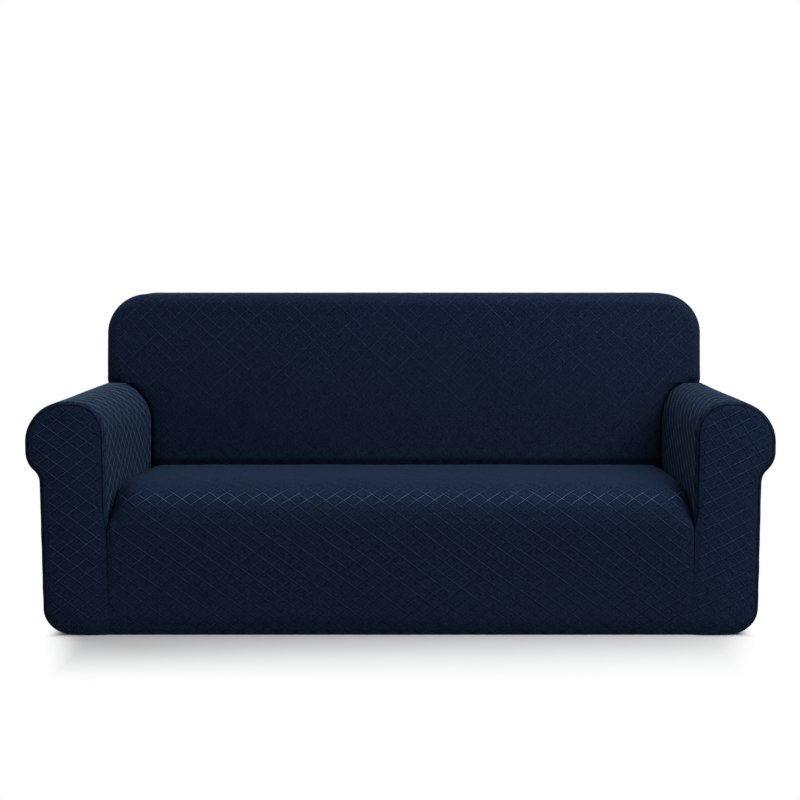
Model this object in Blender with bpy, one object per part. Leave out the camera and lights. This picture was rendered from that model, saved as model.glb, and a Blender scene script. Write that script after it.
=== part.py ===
"""Fitted stretch slipcover for a three-seat sofa with rolled arms.

Seven sewn panels, each a thin closed sheet in the shape that it takes on the sofa: the
seat with its front drop, the inside back, the outside back, two arm covers and two arm
facings. X runs across the sofa, -Y is its front and +Z is up. The origin is on the
floor, under the middle of the cover.

Every panel is a loft between sections, so its faces come from grids of points, and
neighbouring grids share their points along a seam. The grids are welded into one skin
first, which gives each seam one mitre for both its panels, and then the skin is parted.
"""

import math

import bmesh
import bpy
import numpy as np
from mathutils import Vector

COLLECTION = "sofa_slipcover"

# Driving sizes, in metres. Depths are distances behind the arm facings.
DEPTH = 0.86  # from the arm facings to the outside back
THICKNESS = 0.002  # of the stretch cloth
SEAM_GAP = 0.0003  # between neighbouring panels
ROLL_OUTER = 1.025  # half the width over the arm rolls
BODY_OUTER = 0.988  # half the width under the rolls
BODY_TAPER = 0.001  # narrowing of each side towards the floor
ARM_INNER = 0.806  # half the seat's width between the arms
ARM_TOP = 0.649
ROLL_TURN_FRONT = (0.086, 0.090)  # width and height of the roll's inner turn at the facing
ROLL_TURN_REAR = (0.094, 0.130)  # and where it meets the inside back
ROLL_OUTER_RADIUS = 0.114
ROLL_UNDER_RADIUS = 0.067
ROLL_UNDER_HEIGHT = 0.510  # of that radius's centre
NECK_RADIUS = 0.048  # of the hollow under the roll
BACK_HALF = 0.942  # half the width of the back
BACK_TOP = 0.928
BACK_CORNER = 0.123  # radius of the back's upper corners
BACK_SOFT = 0.036  # rounding of the back's front edge
BACK_LEAN = 0.12  # run back for each metre up
BACK_AT_SEAT = 0.570  # depth of the inside back where it meets the seat
SEAT_SEAM = 0.350  # height of the tuck behind the seat
HEM_CORNER = 0.077  # radius of the side hem's turn at the floor
HEM_DRAW = 0.012  # how far the elastic draws the front and rear hems in
HEM_DRAW_FROM = 0.055  # height where that starts
EDGE_INSET = 0.008  # of the facings' and the outside back's seams
EDGE_RUN = 0.012  # depth of the rounding that leads to those seams
EDGE_FADE = 0.06  # height over the hem in which that rounding comes in
TUCK = 0.012  # how far the arms run on behind the inside back's face
TUCK_FADE = 0.035  # height over the arms where the inside back leaves that tuck
DOME = 0.006  # crown of the facings and of the outside back
DOME_POWER = 0.7  # fullness of the facings' crown
CROWN_POWER = 6  # flatness of the outside back's crown across its width
CROWN_FADE = 0.1  # height over the hem in which it comes in
SKEW = 0.008  # how far the seat well leans to the right at its rear
SKEW_HEIGHT = 0.1  # under the arms' tops, in which that lean fades
SKEW_REACH = 0.02  # how far it holds behind the arms' inner faces
SKEW_FADE = 0.12  # and the width in which it fades from there
RISE_POWER = 1.4  # gathers the steps up the back's side near the arms

# Stations of the seat, from the rear seam to the top of the flush front. The mid columns
# are its crown's depth and height, the side columns those of the tuck beside the arms,
# and the last is the width of the rounding between the two.
SEAT_COLUMNS = ("mid_y", "mid_z", "side_y", "side_z", "shoulder")
SEAT_STATIONS = (
    (0.570, 0.350, 0.582, 0.350, 0.050),
    (0.562, 0.379, 0.570, 0.352, 0.050),
    (0.540, 0.397, 0.546, 0.355, 0.052),
    (0.456, 0.406, 0.456, 0.356, 0.056),
    (0.314, 0.414, 0.342, 0.358, 0.060),
    (0.171, 0.420, 0.242, 0.358, 0.066),
    (0.093, 0.419, 0.190, 0.354, 0.072),
    (0.049, 0.407, 0.150, 0.347, 0.078),
    (0.021, 0.384, 0.105, 0.338, 0.082),
    (0.004, 0.353, 0.055, 0.324, 0.084),
    (-0.002, 0.325, 0.013, 0.305, 0.086),
    (-0.004, 0.310, 0.000, 0.292, 0.088),
)

# How finely each stretch is divided
SEAT_STEPS = 1  # between two seat stations
DROP_STEPS = 9  # down the flush front
ACROSS_STEPS = 12  # across the seat and the back, between the shoulders
SHOULDER_STEPS = 4
INNER_STEPS = 5  # up an arm's inner face
ARC_STEPS = 4  # round the roll and round the side hem
NECK_STEPS = 3  # round each half of the hollow under the roll
TOP_STEPS = 2  # along the flat top of the roll
SOFT_STEPS = 3  # round the back's front edge
WALL_STEPS = 3  # down an arm's outer face
RISE_STEPS = 5  # up the side of the back
CORNER_STEPS = 3  # round half a corner of the back
BOXING_STEPS = 3  # over the back's thickness
EDGE_STEPS = 1  # round the edge of the outside back

# Each panel's colour in linear light: navy, a little lighter where the cloth is taut
PANEL_COLOURS = {
    "seat_front": (0.0100, 0.0196, 0.0470),
    "back_inside": (0.0086, 0.0168, 0.0420),
    "back_outside": (0.0086, 0.0168, 0.0420),
    "arm_left": (0.0110, 0.0210, 0.0500),
    "arm_right": (0.0110, 0.0210, 0.0500),
    "arm_front_left": (0.0094, 0.0182, 0.0450),
    "arm_front_right": (0.0094, 0.0182, 0.0450),
}
ROUGHNESS = 0.85


def ease(value):
    """Run smoothly from 0 to 1 as the value does."""
    value = np.clip(value, 0.0, 1.0)
    return value * value * (3.0 - 2.0 * value)


def quarter(steps):
    """Angles over a quarter turn, in radians."""
    return np.linspace(0.0, math.pi / 2, steps + 1)


def line(start, end, steps):
    """Points from start to end, without the start."""
    share = np.linspace(0.0, 1.0, steps + 1)[1:, None]
    return np.asarray(start) + share * (np.asarray(end) - np.asarray(start))


def arc(centre, radius, start, end, steps):
    """Points round an arc between two angles in radians, without the start."""
    angle = np.linspace(start, end, steps + 1)[1:]
    x = centre[0] + radius * np.cos(angle)
    z = centre[1] + radius * np.sin(angle)
    return np.stack([x, z], 1)


def grid(x, y, z):
    """One array of points from three arrays that broadcast together."""
    return np.stack(np.broadcast_arrays(x, y, z), -1)


def between(start, end, share):
    """Straight interpolation."""
    return start + share * (end - start)


def back_face(z):
    """Depth of the inside back's face at a height."""
    return BACK_AT_SEAT + BACK_LEAN * (z - SEAT_SEAM)


def drawn_in(z):
    """How far the elastic has drawn a front or rear hem in at a height."""
    return HEM_DRAW * np.clip(1.0 - z / HEM_DRAW_FROM, 0.0, 1.0) ** 2


def edge_fade(z, start=0.0):
    """Share of an edge's rounding, which runs out towards the hem or a start height."""
    return ease((z - start) / EDGE_FADE)


def seat_stations():
    """The seat's stations as named columns, with a smooth curve between the rows."""
    rows = np.array(SEAT_STATIONS)
    ends = np.vstack([2 * rows[0] - rows[1], rows, 2 * rows[-1] - rows[-2]])
    found = [rows[0]]
    for before, here, after, beyond in zip(ends, ends[1:], ends[2:], ends[3:]):
        for t in np.linspace(0.0, 1.0, SEAT_STEPS + 1)[1:]:
            slope = (after - before) * t
            bend = (2 * before - 5 * here + 4 * after - beyond) * t**2
            twist = (3 * here - before - 3 * after + beyond) * t**3
            found.append((2 * here + slope + bend + twist) / 2)
    return dict(zip(SEAT_COLUMNS, np.array(found).T))


def seat_columns(inner_edge, shoulder):
    """Places across the seat, and how far each lies down its shoulder, from 0 to 1."""
    angle = quarter(SHOULDER_STEPS)
    run = inner_edge - shoulder * (1.0 - np.sin(angle))
    drop = 1.0 - np.cos(angle)
    middle = np.linspace(-run[0], run[0], ACROSS_STEPS + 1)[1:-1]
    x = np.concatenate([-run[::-1], middle, run])
    return x, np.concatenate([drop[::-1], np.zeros(len(middle)), drop])


# The arm's section: stretches of (x, z) points, each starting where the last one ends


def roll_turn(share):
    """Width and height of the roll's inner turn, from the facing at 0 to the back at 1."""
    return between(np.array(ROLL_TURN_FRONT), np.array(ROLL_TURN_REAR), share)


def inner_face(foot, share=1.0):
    """The arm's inner face from its foot up to the roll, with the foot."""
    top = (ARM_INNER, ARM_TOP - roll_turn(share)[1])
    return np.vstack([[ARM_INNER, foot], line((ARM_INNER, foot), top, INNER_STEPS)])


def roll_top(x):
    """Height of the roll's top at a place across it, from its crown outwards."""
    out = np.maximum(0.0, x - (ROLL_OUTER - ROLL_OUTER_RADIUS))
    return ARM_TOP - ROLL_OUTER_RADIUS + np.sqrt(ROLL_OUTER_RADIUS**2 - out**2)


def roll_inside(share=1.0):
    """Round the roll's inner turn and along its top, to the inside back's rounding."""
    width, height = roll_turn(share)
    angle = quarter(ARC_STEPS)[1:]
    x = ARM_INNER + width * (1.0 - np.cos(angle))
    z = ARM_TOP - height * (1.0 - np.sin(angle))
    turn = np.stack([x, z], 1)
    top = line(turn[-1], (BACK_HALF - BACK_SOFT, ARM_TOP), TOP_STEPS)
    return np.vstack([turn, top])


def roll_under_back_edge():
    """The short stretch of the roll's top that the back's rounded edge stands on."""
    x = BACK_HALF - BACK_SOFT * (1.0 - np.sin(quarter(SOFT_STEPS)[1:]))
    return np.stack([x, roll_top(x)], 1)


def roll_outside():
    """From the back's side over the roll, its hollow and the outer face to the hem."""
    centre = (ROLL_OUTER - ROLL_OUTER_RADIUS, ARM_TOP - ROLL_OUTER_RADIUS)
    start = math.acos((BACK_HALF - centre[0]) / ROLL_OUTER_RADIUS)
    outer = arc(centre, ROLL_OUTER_RADIUS, start, 0.0, ARC_STEPS)
    under = (ROLL_OUTER - ROLL_UNDER_RADIUS, ROLL_UNDER_HEIGHT)
    side = line(outer[-1], (ROLL_OUTER, ROLL_UNDER_HEIGHT), 1)
    reach = ROLL_UNDER_RADIUS + NECK_RADIUS
    turn = math.acos(1.0 - (ROLL_OUTER - BODY_OUTER) / reach)
    below = arc(under, ROLL_UNDER_RADIUS, 0.0, -turn, NECK_STEPS)
    hollow_centre = (BODY_OUTER + NECK_RADIUS, under[1] - reach * math.sin(turn))
    hollow = arc(hollow_centre, NECK_RADIUS, math.pi - turn, math.pi, NECK_STEPS)
    foot = BODY_OUTER - BODY_TAPER
    wall = line(hollow[-1], (foot, HEM_CORNER), WALL_STEPS)
    hem_centre = (foot - HEM_CORNER, HEM_CORNER)
    hem = arc(hem_centre, HEM_CORNER, 0.0, -math.pi / 2, ARC_STEPS)
    return np.vstack([outer, side, below, hollow, wall, hem])


def inward(section):
    """Unit vectors into the arm, square to its section."""
    run = np.gradient(section, axis=0)
    side = np.stack([run[:, 1], -run[:, 0]], 1)
    return side / np.linalg.norm(side, axis=1)[:, None]


def arm_rows():
    """The right arm's cover as far back as the inside back, one row for each station."""
    stations = seat_stations()
    depths = stations["side_y"][::-1]
    feet = stations["side_z"][::-1]
    angle = quarter(SOFT_STEPS)[1:]
    soft = BACK_SOFT * (1.0 - np.cos(angle)) + TUCK * (1.0 - angle / angle[-1])
    rows = []
    for depth, foot in zip(depths, feet):
        share = (depth - depths[0]) / (depths[-1] - depths[0])
        section = np.vstack([inner_face(foot, share), roll_inside(share)])
        section = np.vstack([section, roll_under_back_edge(), roll_outside()])
        rear = back_face(section[:, 1]) + TUCK
        past = len(section) - len(roll_outside())
        rear[past - SOFT_STEPS : past] += soft - TUCK
        rear[past:] = back_face(roll_top(BACK_HALF)) + BACK_SOFT
        y = share * rear
        turn = np.clip(1.0 - y / EDGE_RUN, 0.0, 1.0)
        inset = EDGE_INSET * (1.0 - np.sqrt(1.0 - turn**2))
        start = np.where(section[:, 0] <= ARM_INNER, feet[0], 0.0)
        inset *= edge_fade(section[:, 1], start)
        moved = section + inward(section) * inset[:, None]
        y = y + (1.0 - share) * drawn_in(moved[:, 1])
        rows.append(grid(moved[:, 0], y, moved[:, 1]))
    return np.array(rows)


def arm_beside_back():
    """The right arm's cover beside the back, from the inside back to the rear seam."""
    foot = roll_top(BACK_HALF)
    section = np.vstack([[[BACK_HALF, foot]], roll_outside()])
    front = back_face(foot) + BACK_SOFT
    straight = np.linspace(front, DEPTH - EDGE_RUN, BOXING_STEPS + 1)
    rows = []
    for y in straight:
        rows.append((y, 0.0))
    for angle in quarter(EDGE_STEPS)[1:]:
        y = DEPTH - EDGE_RUN * (1.0 - math.sin(angle))
        rows.append((y, EDGE_INSET * (1.0 - math.cos(angle))))
    into = inward(section)
    into[0] = (-1.0, -1.0)
    points = []
    for y, inset in rows:
        moved = section + into * (inset * edge_fade(section[:, 1]))[:, None]
        share = (y - front) / (DEPTH - front)
        depth = y - share * drawn_in(moved[:, 1])
        points.append(grid(moved[:, 0], depth, moved[:, 1]))
    return np.array(points)


def facing(arm):
    """The right facing, from the hem up, between its inner and its outer edge."""
    stations = seat_stations()
    top = stations["side_z"][-1]
    below = line((ARM_INNER, 0.0), (ARM_INNER, top), DROP_STEPS)[:-1]
    below = np.vstack([[ARM_INNER, 0.0], below])
    edge = arm[0][:, [0, 2]]
    turn = INNER_STEPS + ARC_STEPS + 1
    across = TOP_STEPS + SOFT_STEPS
    inner = np.vstack([below, edge[:turn]])
    outer = edge[turn + across - 1 :][::-1]
    upper = edge[turn - 1 : turn + across]
    share = np.linspace(0.0, 1.0, across + 1)
    points = inner[:, None] + share[:, None] * (outer - inner)[:, None]
    points[-1] = upper
    rise = np.linspace(0.0, 1.0, len(points))[:, None]
    dome = DOME * np.sin(math.pi * share) ** DOME_POWER * (1.0 - rise**4)
    x, z = points[..., 0], points[..., 1]
    return grid(x, drawn_in(z) - dome, z)


def seat():
    """The seat from the rear seam to the front, and on down to the hem."""
    stations = seat_stations()
    rows = []
    for mid_y, mid_z, side_y, side_z, shoulder in zip(*stations.values()):
        x, drop = seat_columns(ARM_INNER, shoulder)
        rows.append(grid(x, between(mid_y, side_y, drop), between(mid_z, side_z, drop)))
    top = rows[-1]
    for share in np.linspace(0.0, 1.0, DROP_STEPS + 1)[1:]:
        z = top[:, 2] * (1.0 - share)
        y = top[:, 1] * (1.0 - share) + drawn_in(z)
        rows.append(grid(top[:, 0], y, z))
    return np.array(rows)


def back_between_arms():
    """The inside back from the rear seam of the seat to the top of the arms."""
    edge = np.vstack([inner_face(SEAT_SEAM), roll_inside()[:ARC_STEPS]])
    x, tuck = seat_columns(ARM_INNER, SEAT_STATIONS[0][-1])
    across = np.outer(edge[:, 0], x / ARM_INNER)
    z = edge[:, 1][:, None]
    return grid(across, back_face(z) + TUCK * tuck, z)


def back_outline(inset, foot):
    """The back's outline over the arms, set in: its right side, and its right top half.

    The side runs up from the foot to the middle of the corner, and the top from there.
    """
    radius = BACK_CORNER - inset
    centre = (BACK_HALF - BACK_CORNER, BACK_TOP - BACK_CORNER)
    rise = np.linspace(0.0, 1.0, RISE_STEPS + 1)[:, None] ** RISE_POWER
    start = np.array([BACK_HALF - inset, foot])
    straight = start + rise * (np.array([BACK_HALF - inset, centre[1]]) - start)
    half = math.pi / 4
    side = np.vstack([straight, arc(centre, radius, 0.0, half, CORNER_STEPS)])
    corner = arc(centre, radius, half, 2 * half, CORNER_STEPS)
    steps = ACROSS_STEPS // 2 + SHOULDER_STEPS + TOP_STEPS - CORNER_STEPS
    top = line(corner[-1], (0.0, BACK_TOP - inset), steps)
    return side, np.vstack([side[-1:], corner, top])


def mirrored(path):
    """A path of (x, z) points on the other side, in the same order."""
    return path * np.array([-1.0, 1.0])


def filled(bottom, side, top):
    """Points of a patch between a bottom row, a right side and the top's right half."""
    top = np.vstack([mirrored(top), top[:-1][::-1]])
    left, right = mirrored(side), side
    u = np.linspace(0.0, 1.0, len(bottom))[None, :, None]
    v = np.linspace(0.0, 1.0, len(side))[:, None, None]
    ruled = (1 - v) * bottom[None] + v * top[None]
    crossed = (1 - u) * left[:, None] + u * right[:, None]
    low = (1 - u) * bottom[0] + u * bottom[-1]
    high = (1 - u) * top[0] + u * top[-1]
    return ruled + crossed - (1 - v) * low - v * high


def tuck_above(z):
    """Share of the tuck that is left at a height over the arms."""
    return np.clip(1.0 - (z - ARM_TOP) / TUCK_FADE, 0.0, 1.0) ** 2


def back_above_arms():
    """The inside back's face over the arms, as far as its rounded edge."""
    x, drop = seat_columns(ARM_INNER, SEAT_STATIONS[0][-1])
    x = x * (ARM_INNER + ROLL_TURN_REAR[0]) / ARM_INNER
    flat = roll_inside()[ARC_STEPS:, 0]
    x = np.concatenate([-flat[::-1], x, flat])
    tuck = np.concatenate([np.ones(TOP_STEPS), drop, np.ones(TOP_STEPS)])
    bottom = np.stack([x, np.full(len(x), ARM_TOP)], 1)
    points = filled(bottom, *back_outline(BACK_SOFT, ARM_TOP))
    z = points[..., 1]
    return grid(points[..., 0], back_face(z) + TUCK * tuck * tuck_above(z), z)


def back_boxing():
    """The back's rounded edge and thickness, from its face to the rear seam."""
    rings = []
    for angle in quarter(SOFT_STEPS):
        inset = BACK_SOFT * (1.0 - math.sin(angle))
        run = BACK_SOFT * (1.0 - math.cos(angle))
        rings.append((inset, run, 0.0, 1.0 - angle / (math.pi / 2)))
    for share in np.linspace(0.0, 1.0, BOXING_STEPS + 1)[1:]:
        rings.append((0.0, BACK_SOFT, share, 0.0))
    for angle in quarter(EDGE_STEPS)[1:]:
        inset = EDGE_INSET * (1.0 - math.cos(angle))
        rings.append((inset, BACK_SOFT, 1.0 + math.sin(angle), 0.0))
    points = []
    for inset, run, share, tuck in rings:
        foot = roll_top(BACK_HALF) - inset if share > 1.0 else roll_top(BACK_HALF - inset)
        side, top = back_outline(inset, foot)
        path = np.vstack([mirrored(side), mirrored(top)[1:], top[:-1][::-1]])
        path = np.vstack([path, side[:-1][::-1]])
        z = path[:, 1]
        front = back_face(z) + run + TUCK * tuck * tuck_above(z)
        rear = DEPTH - EDGE_RUN
        if share <= 1.0:
            y = between(front, rear, share)
        else:
            y = np.full(len(z), rear + EDGE_RUN * (share - 1.0))
        points.append(grid(path[:, 0], y, z))
    return np.array(points)


def outside_back(beside):
    """The outside back, from the hem up to the arms' tops and from there to its top."""
    edge = beside[-1][::-1]
    columns = ACROSS_STEPS + 2 * (SHOULDER_STEPS + TOP_STEPS)
    share = np.linspace(-1.0, 1.0, columns + 1)
    x = np.outer(edge[:, 0], share)
    z = np.repeat(edge[:, 2][:, None], columns + 1, 1)
    y = np.repeat(edge[:, 1][:, None], columns + 1, 1)
    crown = DOME * (1.0 - share**CROWN_POWER)
    lower = grid(x, y + crown * ease(z / CROWN_FADE), z)
    side, top = back_outline(EDGE_INSET, roll_top(BACK_HALF) - EDGE_INSET)
    bottom = lower[-1][:, [0, 2]]
    points = filled(bottom, side, top)
    rise = np.linspace(0.0, 1.0, len(side))[:, None]
    upper = grid(points[..., 0], DEPTH + crown * (1.0 - rise**3), points[..., 1])
    return lower, upper


def in_place(points):
    """Lean the seat well to the right and set the origin under the cover's middle."""
    x, y, z = points[..., 0], points[..., 1], points[..., 2]
    near = 1.0 - ease((np.abs(x) - ARM_INNER - SKEW_REACH) / SKEW_FADE)
    lean = SKEW * y / BACK_AT_SEAT * ease((ARM_TOP - z) / SKEW_HEIGHT) * near
    return grid(x + lean, y - DEPTH / 2, z)


def left(points):
    """The same patch on the left, with its columns turned round."""
    return (points * np.array([-1.0, 1.0, 1.0]))[:, ::-1]


def patches():
    """Each panel's name with one of its patches."""
    arm, beside = arm_rows(), arm_beside_back()
    front = facing(arm)
    lower, upper = outside_back(beside)
    return (
        ("seat_front", seat()),
        ("back_inside", back_between_arms()),
        ("back_inside", back_above_arms()),
        ("back_inside", back_boxing()),
        ("back_outside", lower),
        ("back_outside", upper),
        ("arm_left", left(arm)),
        ("arm_left", left(beside)),
        ("arm_right", arm),
        ("arm_right", beside),
        ("arm_front_left", left(front)),
        ("arm_front_right", front),
    )


def whole_skin(names):
    """All patches welded into one skin that faces out, each face with its panel's index."""
    skin = bmesh.new()
    for name, points in patches():
        points = in_place(points)
        verts = [[skin.verts.new(p) for p in row] for row in points]
        for low, high in zip(verts, verts[1:]):
            for a, b, c, d in zip(low, low[1:], high[1:], high):
                skin.faces.new((a, b, c, d)).material_index = names.index(name)
    bmesh.ops.remove_doubles(skin, verts=skin.verts, dist=1e-5)
    bmesh.ops.recalc_face_normals(skin, faces=skin.faces)
    highest = max(skin.faces, key=lambda face: face.calc_center_median().z)
    if highest.normal.z < 0:
        bmesh.ops.reverse_faces(skin, faces=skin.faces)
    skin.normal_update()
    skin.verts.index_update()
    return skin


def into_face(face, edge):
    """Unit vector in a face, square to one of its edges."""
    start, end = (vert.co for vert in edge.verts)
    side = face.normal.cross(end - start).normalized()
    if side.dot(face.calc_center_median() - (start + end) / 2) < 0:
        side.negate()
    return side


def seam_shift(vert, panel):
    """Half the seam gap, square to the seam's mitre and towards the panel."""
    sides = []
    for edge in vert.link_edges:
        own = [face for face in edge.link_faces if face.material_index == panel]
        other = [face for face in edge.link_faces if face.material_index != panel]
        if own and other:
            mitre = into_face(own[0], edge) - into_face(other[0], edge)
            sides.append(mitre.normalized())
    if not sides:
        return Vector()
    total = sum(sides, Vector())
    if len(sides) == 2:
        total /= max(0.2, 1.0 + sides[0].dot(sides[1]))
    return total * SEAM_GAP / 2


def panel_mesh(skin, panel, name):
    """A closed sheet from the skin's faces of one panel, thickened towards the sofa."""
    sheet = bmesh.new()
    faces = [face for face in skin.faces if face.material_index == panel]
    outer, inner = {}, {}
    for vert in skin.verts:
        if not any(face.material_index == panel for face in vert.link_faces):
            continue
        place = vert.co + seam_shift(vert, panel)
        outer[vert] = sheet.verts.new(place)
        inner[vert] = sheet.verts.new(place - vert.normal * THICKNESS)
    for face in faces:
        sheet.faces.new([outer[vert] for vert in face.verts])
        sheet.faces.new([inner[vert] for vert in reversed(face.verts)])
        for loop in face.loops:
            own = [f for f in loop.edge.link_faces if f.material_index == panel]
            if len(own) == 1:
                a, b = loop.vert, loop.link_loop_next.vert
                rim = [outer[b], outer[a], inner[a], inner[b]]
                if a.index > b.index:  # both panels part the twisted rim the same way
                    rim = rim[1:] + rim[:1]
                sheet.faces.new(rim[:3])
                sheet.faces.new((rim[0], rim[2], rim[3]))
    bmesh.ops.triangulate(sheet, faces=sheet.faces)
    mesh = bpy.data.meshes.new(name)
    sheet.to_mesh(mesh)
    sheet.free()
    return mesh


def cloth(name, colour):
    """Matt knitted cloth of one colour."""
    material = bpy.data.materials.new(f"{name}_cloth")
    material.use_nodes = True
    shader = material.node_tree.nodes["Principled BSDF"]
    shader.inputs["Base Color"].default_value = (*colour, 1.0)
    shader.inputs["Roughness"].default_value = ROUGHNESS
    shader.inputs["Metallic"].default_value = 0.0
    return material


def build():
    """Make the cover's seven panels."""
    for old in list(bpy.data.objects):
        bpy.data.objects.remove(old)
    collection = bpy.data.collections.new(COLLECTION)
    bpy.context.scene.collection.children.link(collection)
    names = list(PANEL_COLOURS)
    skin = whole_skin(names)
    for index, name in enumerate(names):
        mesh = panel_mesh(skin, index, name)
        mesh.materials.append(cloth(name, PANEL_COLOURS[name]))
        mesh.shade_smooth()
        mesh.set_sharp_from_angle(angle=math.radians(40))
        collection.objects.link(bpy.data.objects.new(name, mesh))
    skin.free()


build()
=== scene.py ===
"""Looks of a fitted stretch slipcover for a three-seat sofa with rolled arms.

The cover is seven panels of navy stretch knit with a raised diamond lattice. Each panel is
a thin closed sheet in the shape that it takes on the sofa. All panels come from one skin,
which is divided into fine cells, given the soft relief of sewn and stretched cloth, and
then parted along the seams. X runs across the sofa, -Y is its front and +Z is up.
"""

from __future__ import annotations

import logging
import math
from dataclasses import dataclass, field, replace
from enum import Enum

import bmesh
import bpy
import numpy as np
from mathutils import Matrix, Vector, kdtree


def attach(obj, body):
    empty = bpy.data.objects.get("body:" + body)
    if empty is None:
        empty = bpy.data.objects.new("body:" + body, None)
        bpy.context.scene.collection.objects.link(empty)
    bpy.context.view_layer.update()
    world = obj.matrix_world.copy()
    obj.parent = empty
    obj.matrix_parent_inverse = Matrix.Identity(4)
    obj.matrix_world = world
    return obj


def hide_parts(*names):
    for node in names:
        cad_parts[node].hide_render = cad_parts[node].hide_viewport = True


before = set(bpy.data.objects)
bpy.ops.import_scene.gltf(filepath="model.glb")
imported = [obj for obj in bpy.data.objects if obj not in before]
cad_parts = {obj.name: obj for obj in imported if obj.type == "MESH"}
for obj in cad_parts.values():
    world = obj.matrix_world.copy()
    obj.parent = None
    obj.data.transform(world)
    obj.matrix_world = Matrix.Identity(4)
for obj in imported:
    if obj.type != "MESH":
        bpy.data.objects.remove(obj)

LOG = logging.getLogger("slipcover")
BODY = "root"
CLOTH_UV = "lattice"
SEAM_ATTRIBUTE = "seam_distance"
FOLD_ATTRIBUTE = "seam_fold"
HEM_ATTRIBUTE = "hem_distance"
UP_ATTRIBUTE = "cloth_up"
SHARE_ATTRIBUTE = "rib_share"
LEVEL_ATTRIBUTE = "cloth_level"
TUCK_ATTRIBUTE = "tuck_distance"
TINY = 1e-12  # the least length that a vector is divided by
WHITE = (1.0, 1.0, 1.0, 1.0)

Pair = tuple[float, float]
Place = tuple[float, float, float]
Colour = tuple[float, float, float]
Waves = tuple[tuple[float, float, float, float], ...]


class Panel(Enum):
    """The pieces that are cut and sewn, by the node that each stands for."""

    SEAT_FRONT = "seat_front"
    BACK_INSIDE = "back_inside"
    BACK_OUTSIDE = "back_outside"
    ARM_LEFT = "arm_left"
    ARM_RIGHT = "arm_right"
    ARM_FRONT_LEFT = "arm_front_left"
    ARM_FRONT_RIGHT = "arm_front_right"


# Small sums for grids of points


def ease(value: np.ndarray) -> np.ndarray:
    """Run smoothly from 0 to 1 as the value does."""
    value = np.clip(value, 0.0, 1.0)
    return value * value * (3.0 - 2.0 * value)


def over(value: np.ndarray, band: Pair) -> np.ndarray:
    """Run smoothly from 0 to 1 as the value crosses a band."""
    start, end = band
    return ease((value - start) / (end - start))


def bell(distance: np.ndarray, reach: float) -> np.ndarray:
    """A smooth hump of height 1 that dies away past its reach."""
    return np.exp(-((distance / reach) ** 2))


def quarter(steps: int) -> np.ndarray:
    """Angles over a quarter turn, in radians."""
    return np.linspace(0.0, math.pi / 2, steps + 1)


def line(start: object, end: object, steps: int) -> np.ndarray:
    """Points from start to end, without the start."""
    share = np.linspace(0.0, 1.0, steps + 1)[1:, None]
    return np.asarray(start) + share * (np.asarray(end) - np.asarray(start))


def arc(centre: Pair, radius: float, start: float, end: float, steps: int) -> np.ndarray:
    """Points of (x, z) round an arc between two angles in radians, without the start."""
    angle = np.linspace(start, end, steps + 1)[1:]
    return np.stack([centre[0] + radius * np.cos(angle), centre[1] + radius * np.sin(angle)], 1)


def grid(*parts: object) -> np.ndarray:
    """One array of points from arrays that broadcast together."""
    return np.stack(np.broadcast_arrays(*parts), -1)


def between(start: object, end: object, share: object) -> np.ndarray:
    """Straight interpolation."""
    return start + share * (end - start)


def unit(vectors: np.ndarray) -> np.ndarray:
    """Vectors of length 1."""
    return vectors / np.maximum(np.linalg.norm(vectors, axis=-1, keepdims=True), TINY)


def run_length(points: np.ndarray, axis: int) -> np.ndarray:
    """Length run along the lines of a grid, from its first row or column."""
    steps = np.linalg.norm(np.diff(points, axis=axis), axis=-1)
    start = np.zeros_like(np.take(steps, [0], axis=axis))
    return np.concatenate([start, np.cumsum(steps, axis=axis)], axis=axis)


def mirrored(path: np.ndarray) -> np.ndarray:
    """A path of (x, z) points on the other side, in the same order."""
    return path * np.array([-1.0, 1.0])


def sides(quads: np.ndarray) -> np.ndarray:
    """The two corners of each side of some quads: all their first sides, then the next."""
    return np.concatenate([quads[:, [i, (i + 1) % 4]] for i in range(4)])


def closed(quads: np.ndarray, uv: np.ndarray) -> tuple[np.ndarray, np.ndarray]:
    """Close a sheet of cells with the same cells on its inside and a wall round its rim.

    Args:
        quads: The cells' corners. The inside's points follow the outside's, in the same order.
        uv: Each corner's place on the cloth.

    Returns:
        The whole sheet's faces and their corners' places.
    """
    pairs, count = sides(quads), quads.max() + 1
    key = np.sort(pairs, 1) @ np.array([count, 1])
    _, first, uses = np.unique(key, return_index=True, return_counts=True)
    rim = first[uses == 1]
    a, b = pairs[rim].T
    wall = np.stack([b, a, a + count, b + count], 1)
    faces = np.concatenate([quads, quads[:, ::-1] + count, wall])
    return faces, np.concatenate([uv, uv[:, ::-1], sides(uv)[rim][:, [1, 0, 0, 1]]])


@dataclass(frozen=True)
class Patch:
    """A grid of points on the cover, with rows and columns turned so that it faces out.

    The cloth array holds how far each point lies across and along its panel's cloth.
    """

    panel: Panel
    points: np.ndarray
    cloth: np.ndarray

    def on_left(self, panel: Panel) -> Patch:
        """The same patch on the left of the sofa, for its own panel."""
        points = (self.points * np.array([-1.0, 1.0, 1.0]))[:, ::-1]
        return Patch(panel, points, (self.cloth * np.array([-1.0, 1.0]))[:, ::-1])


# The cover's form: the curves that its panels share, with their sizes


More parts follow.
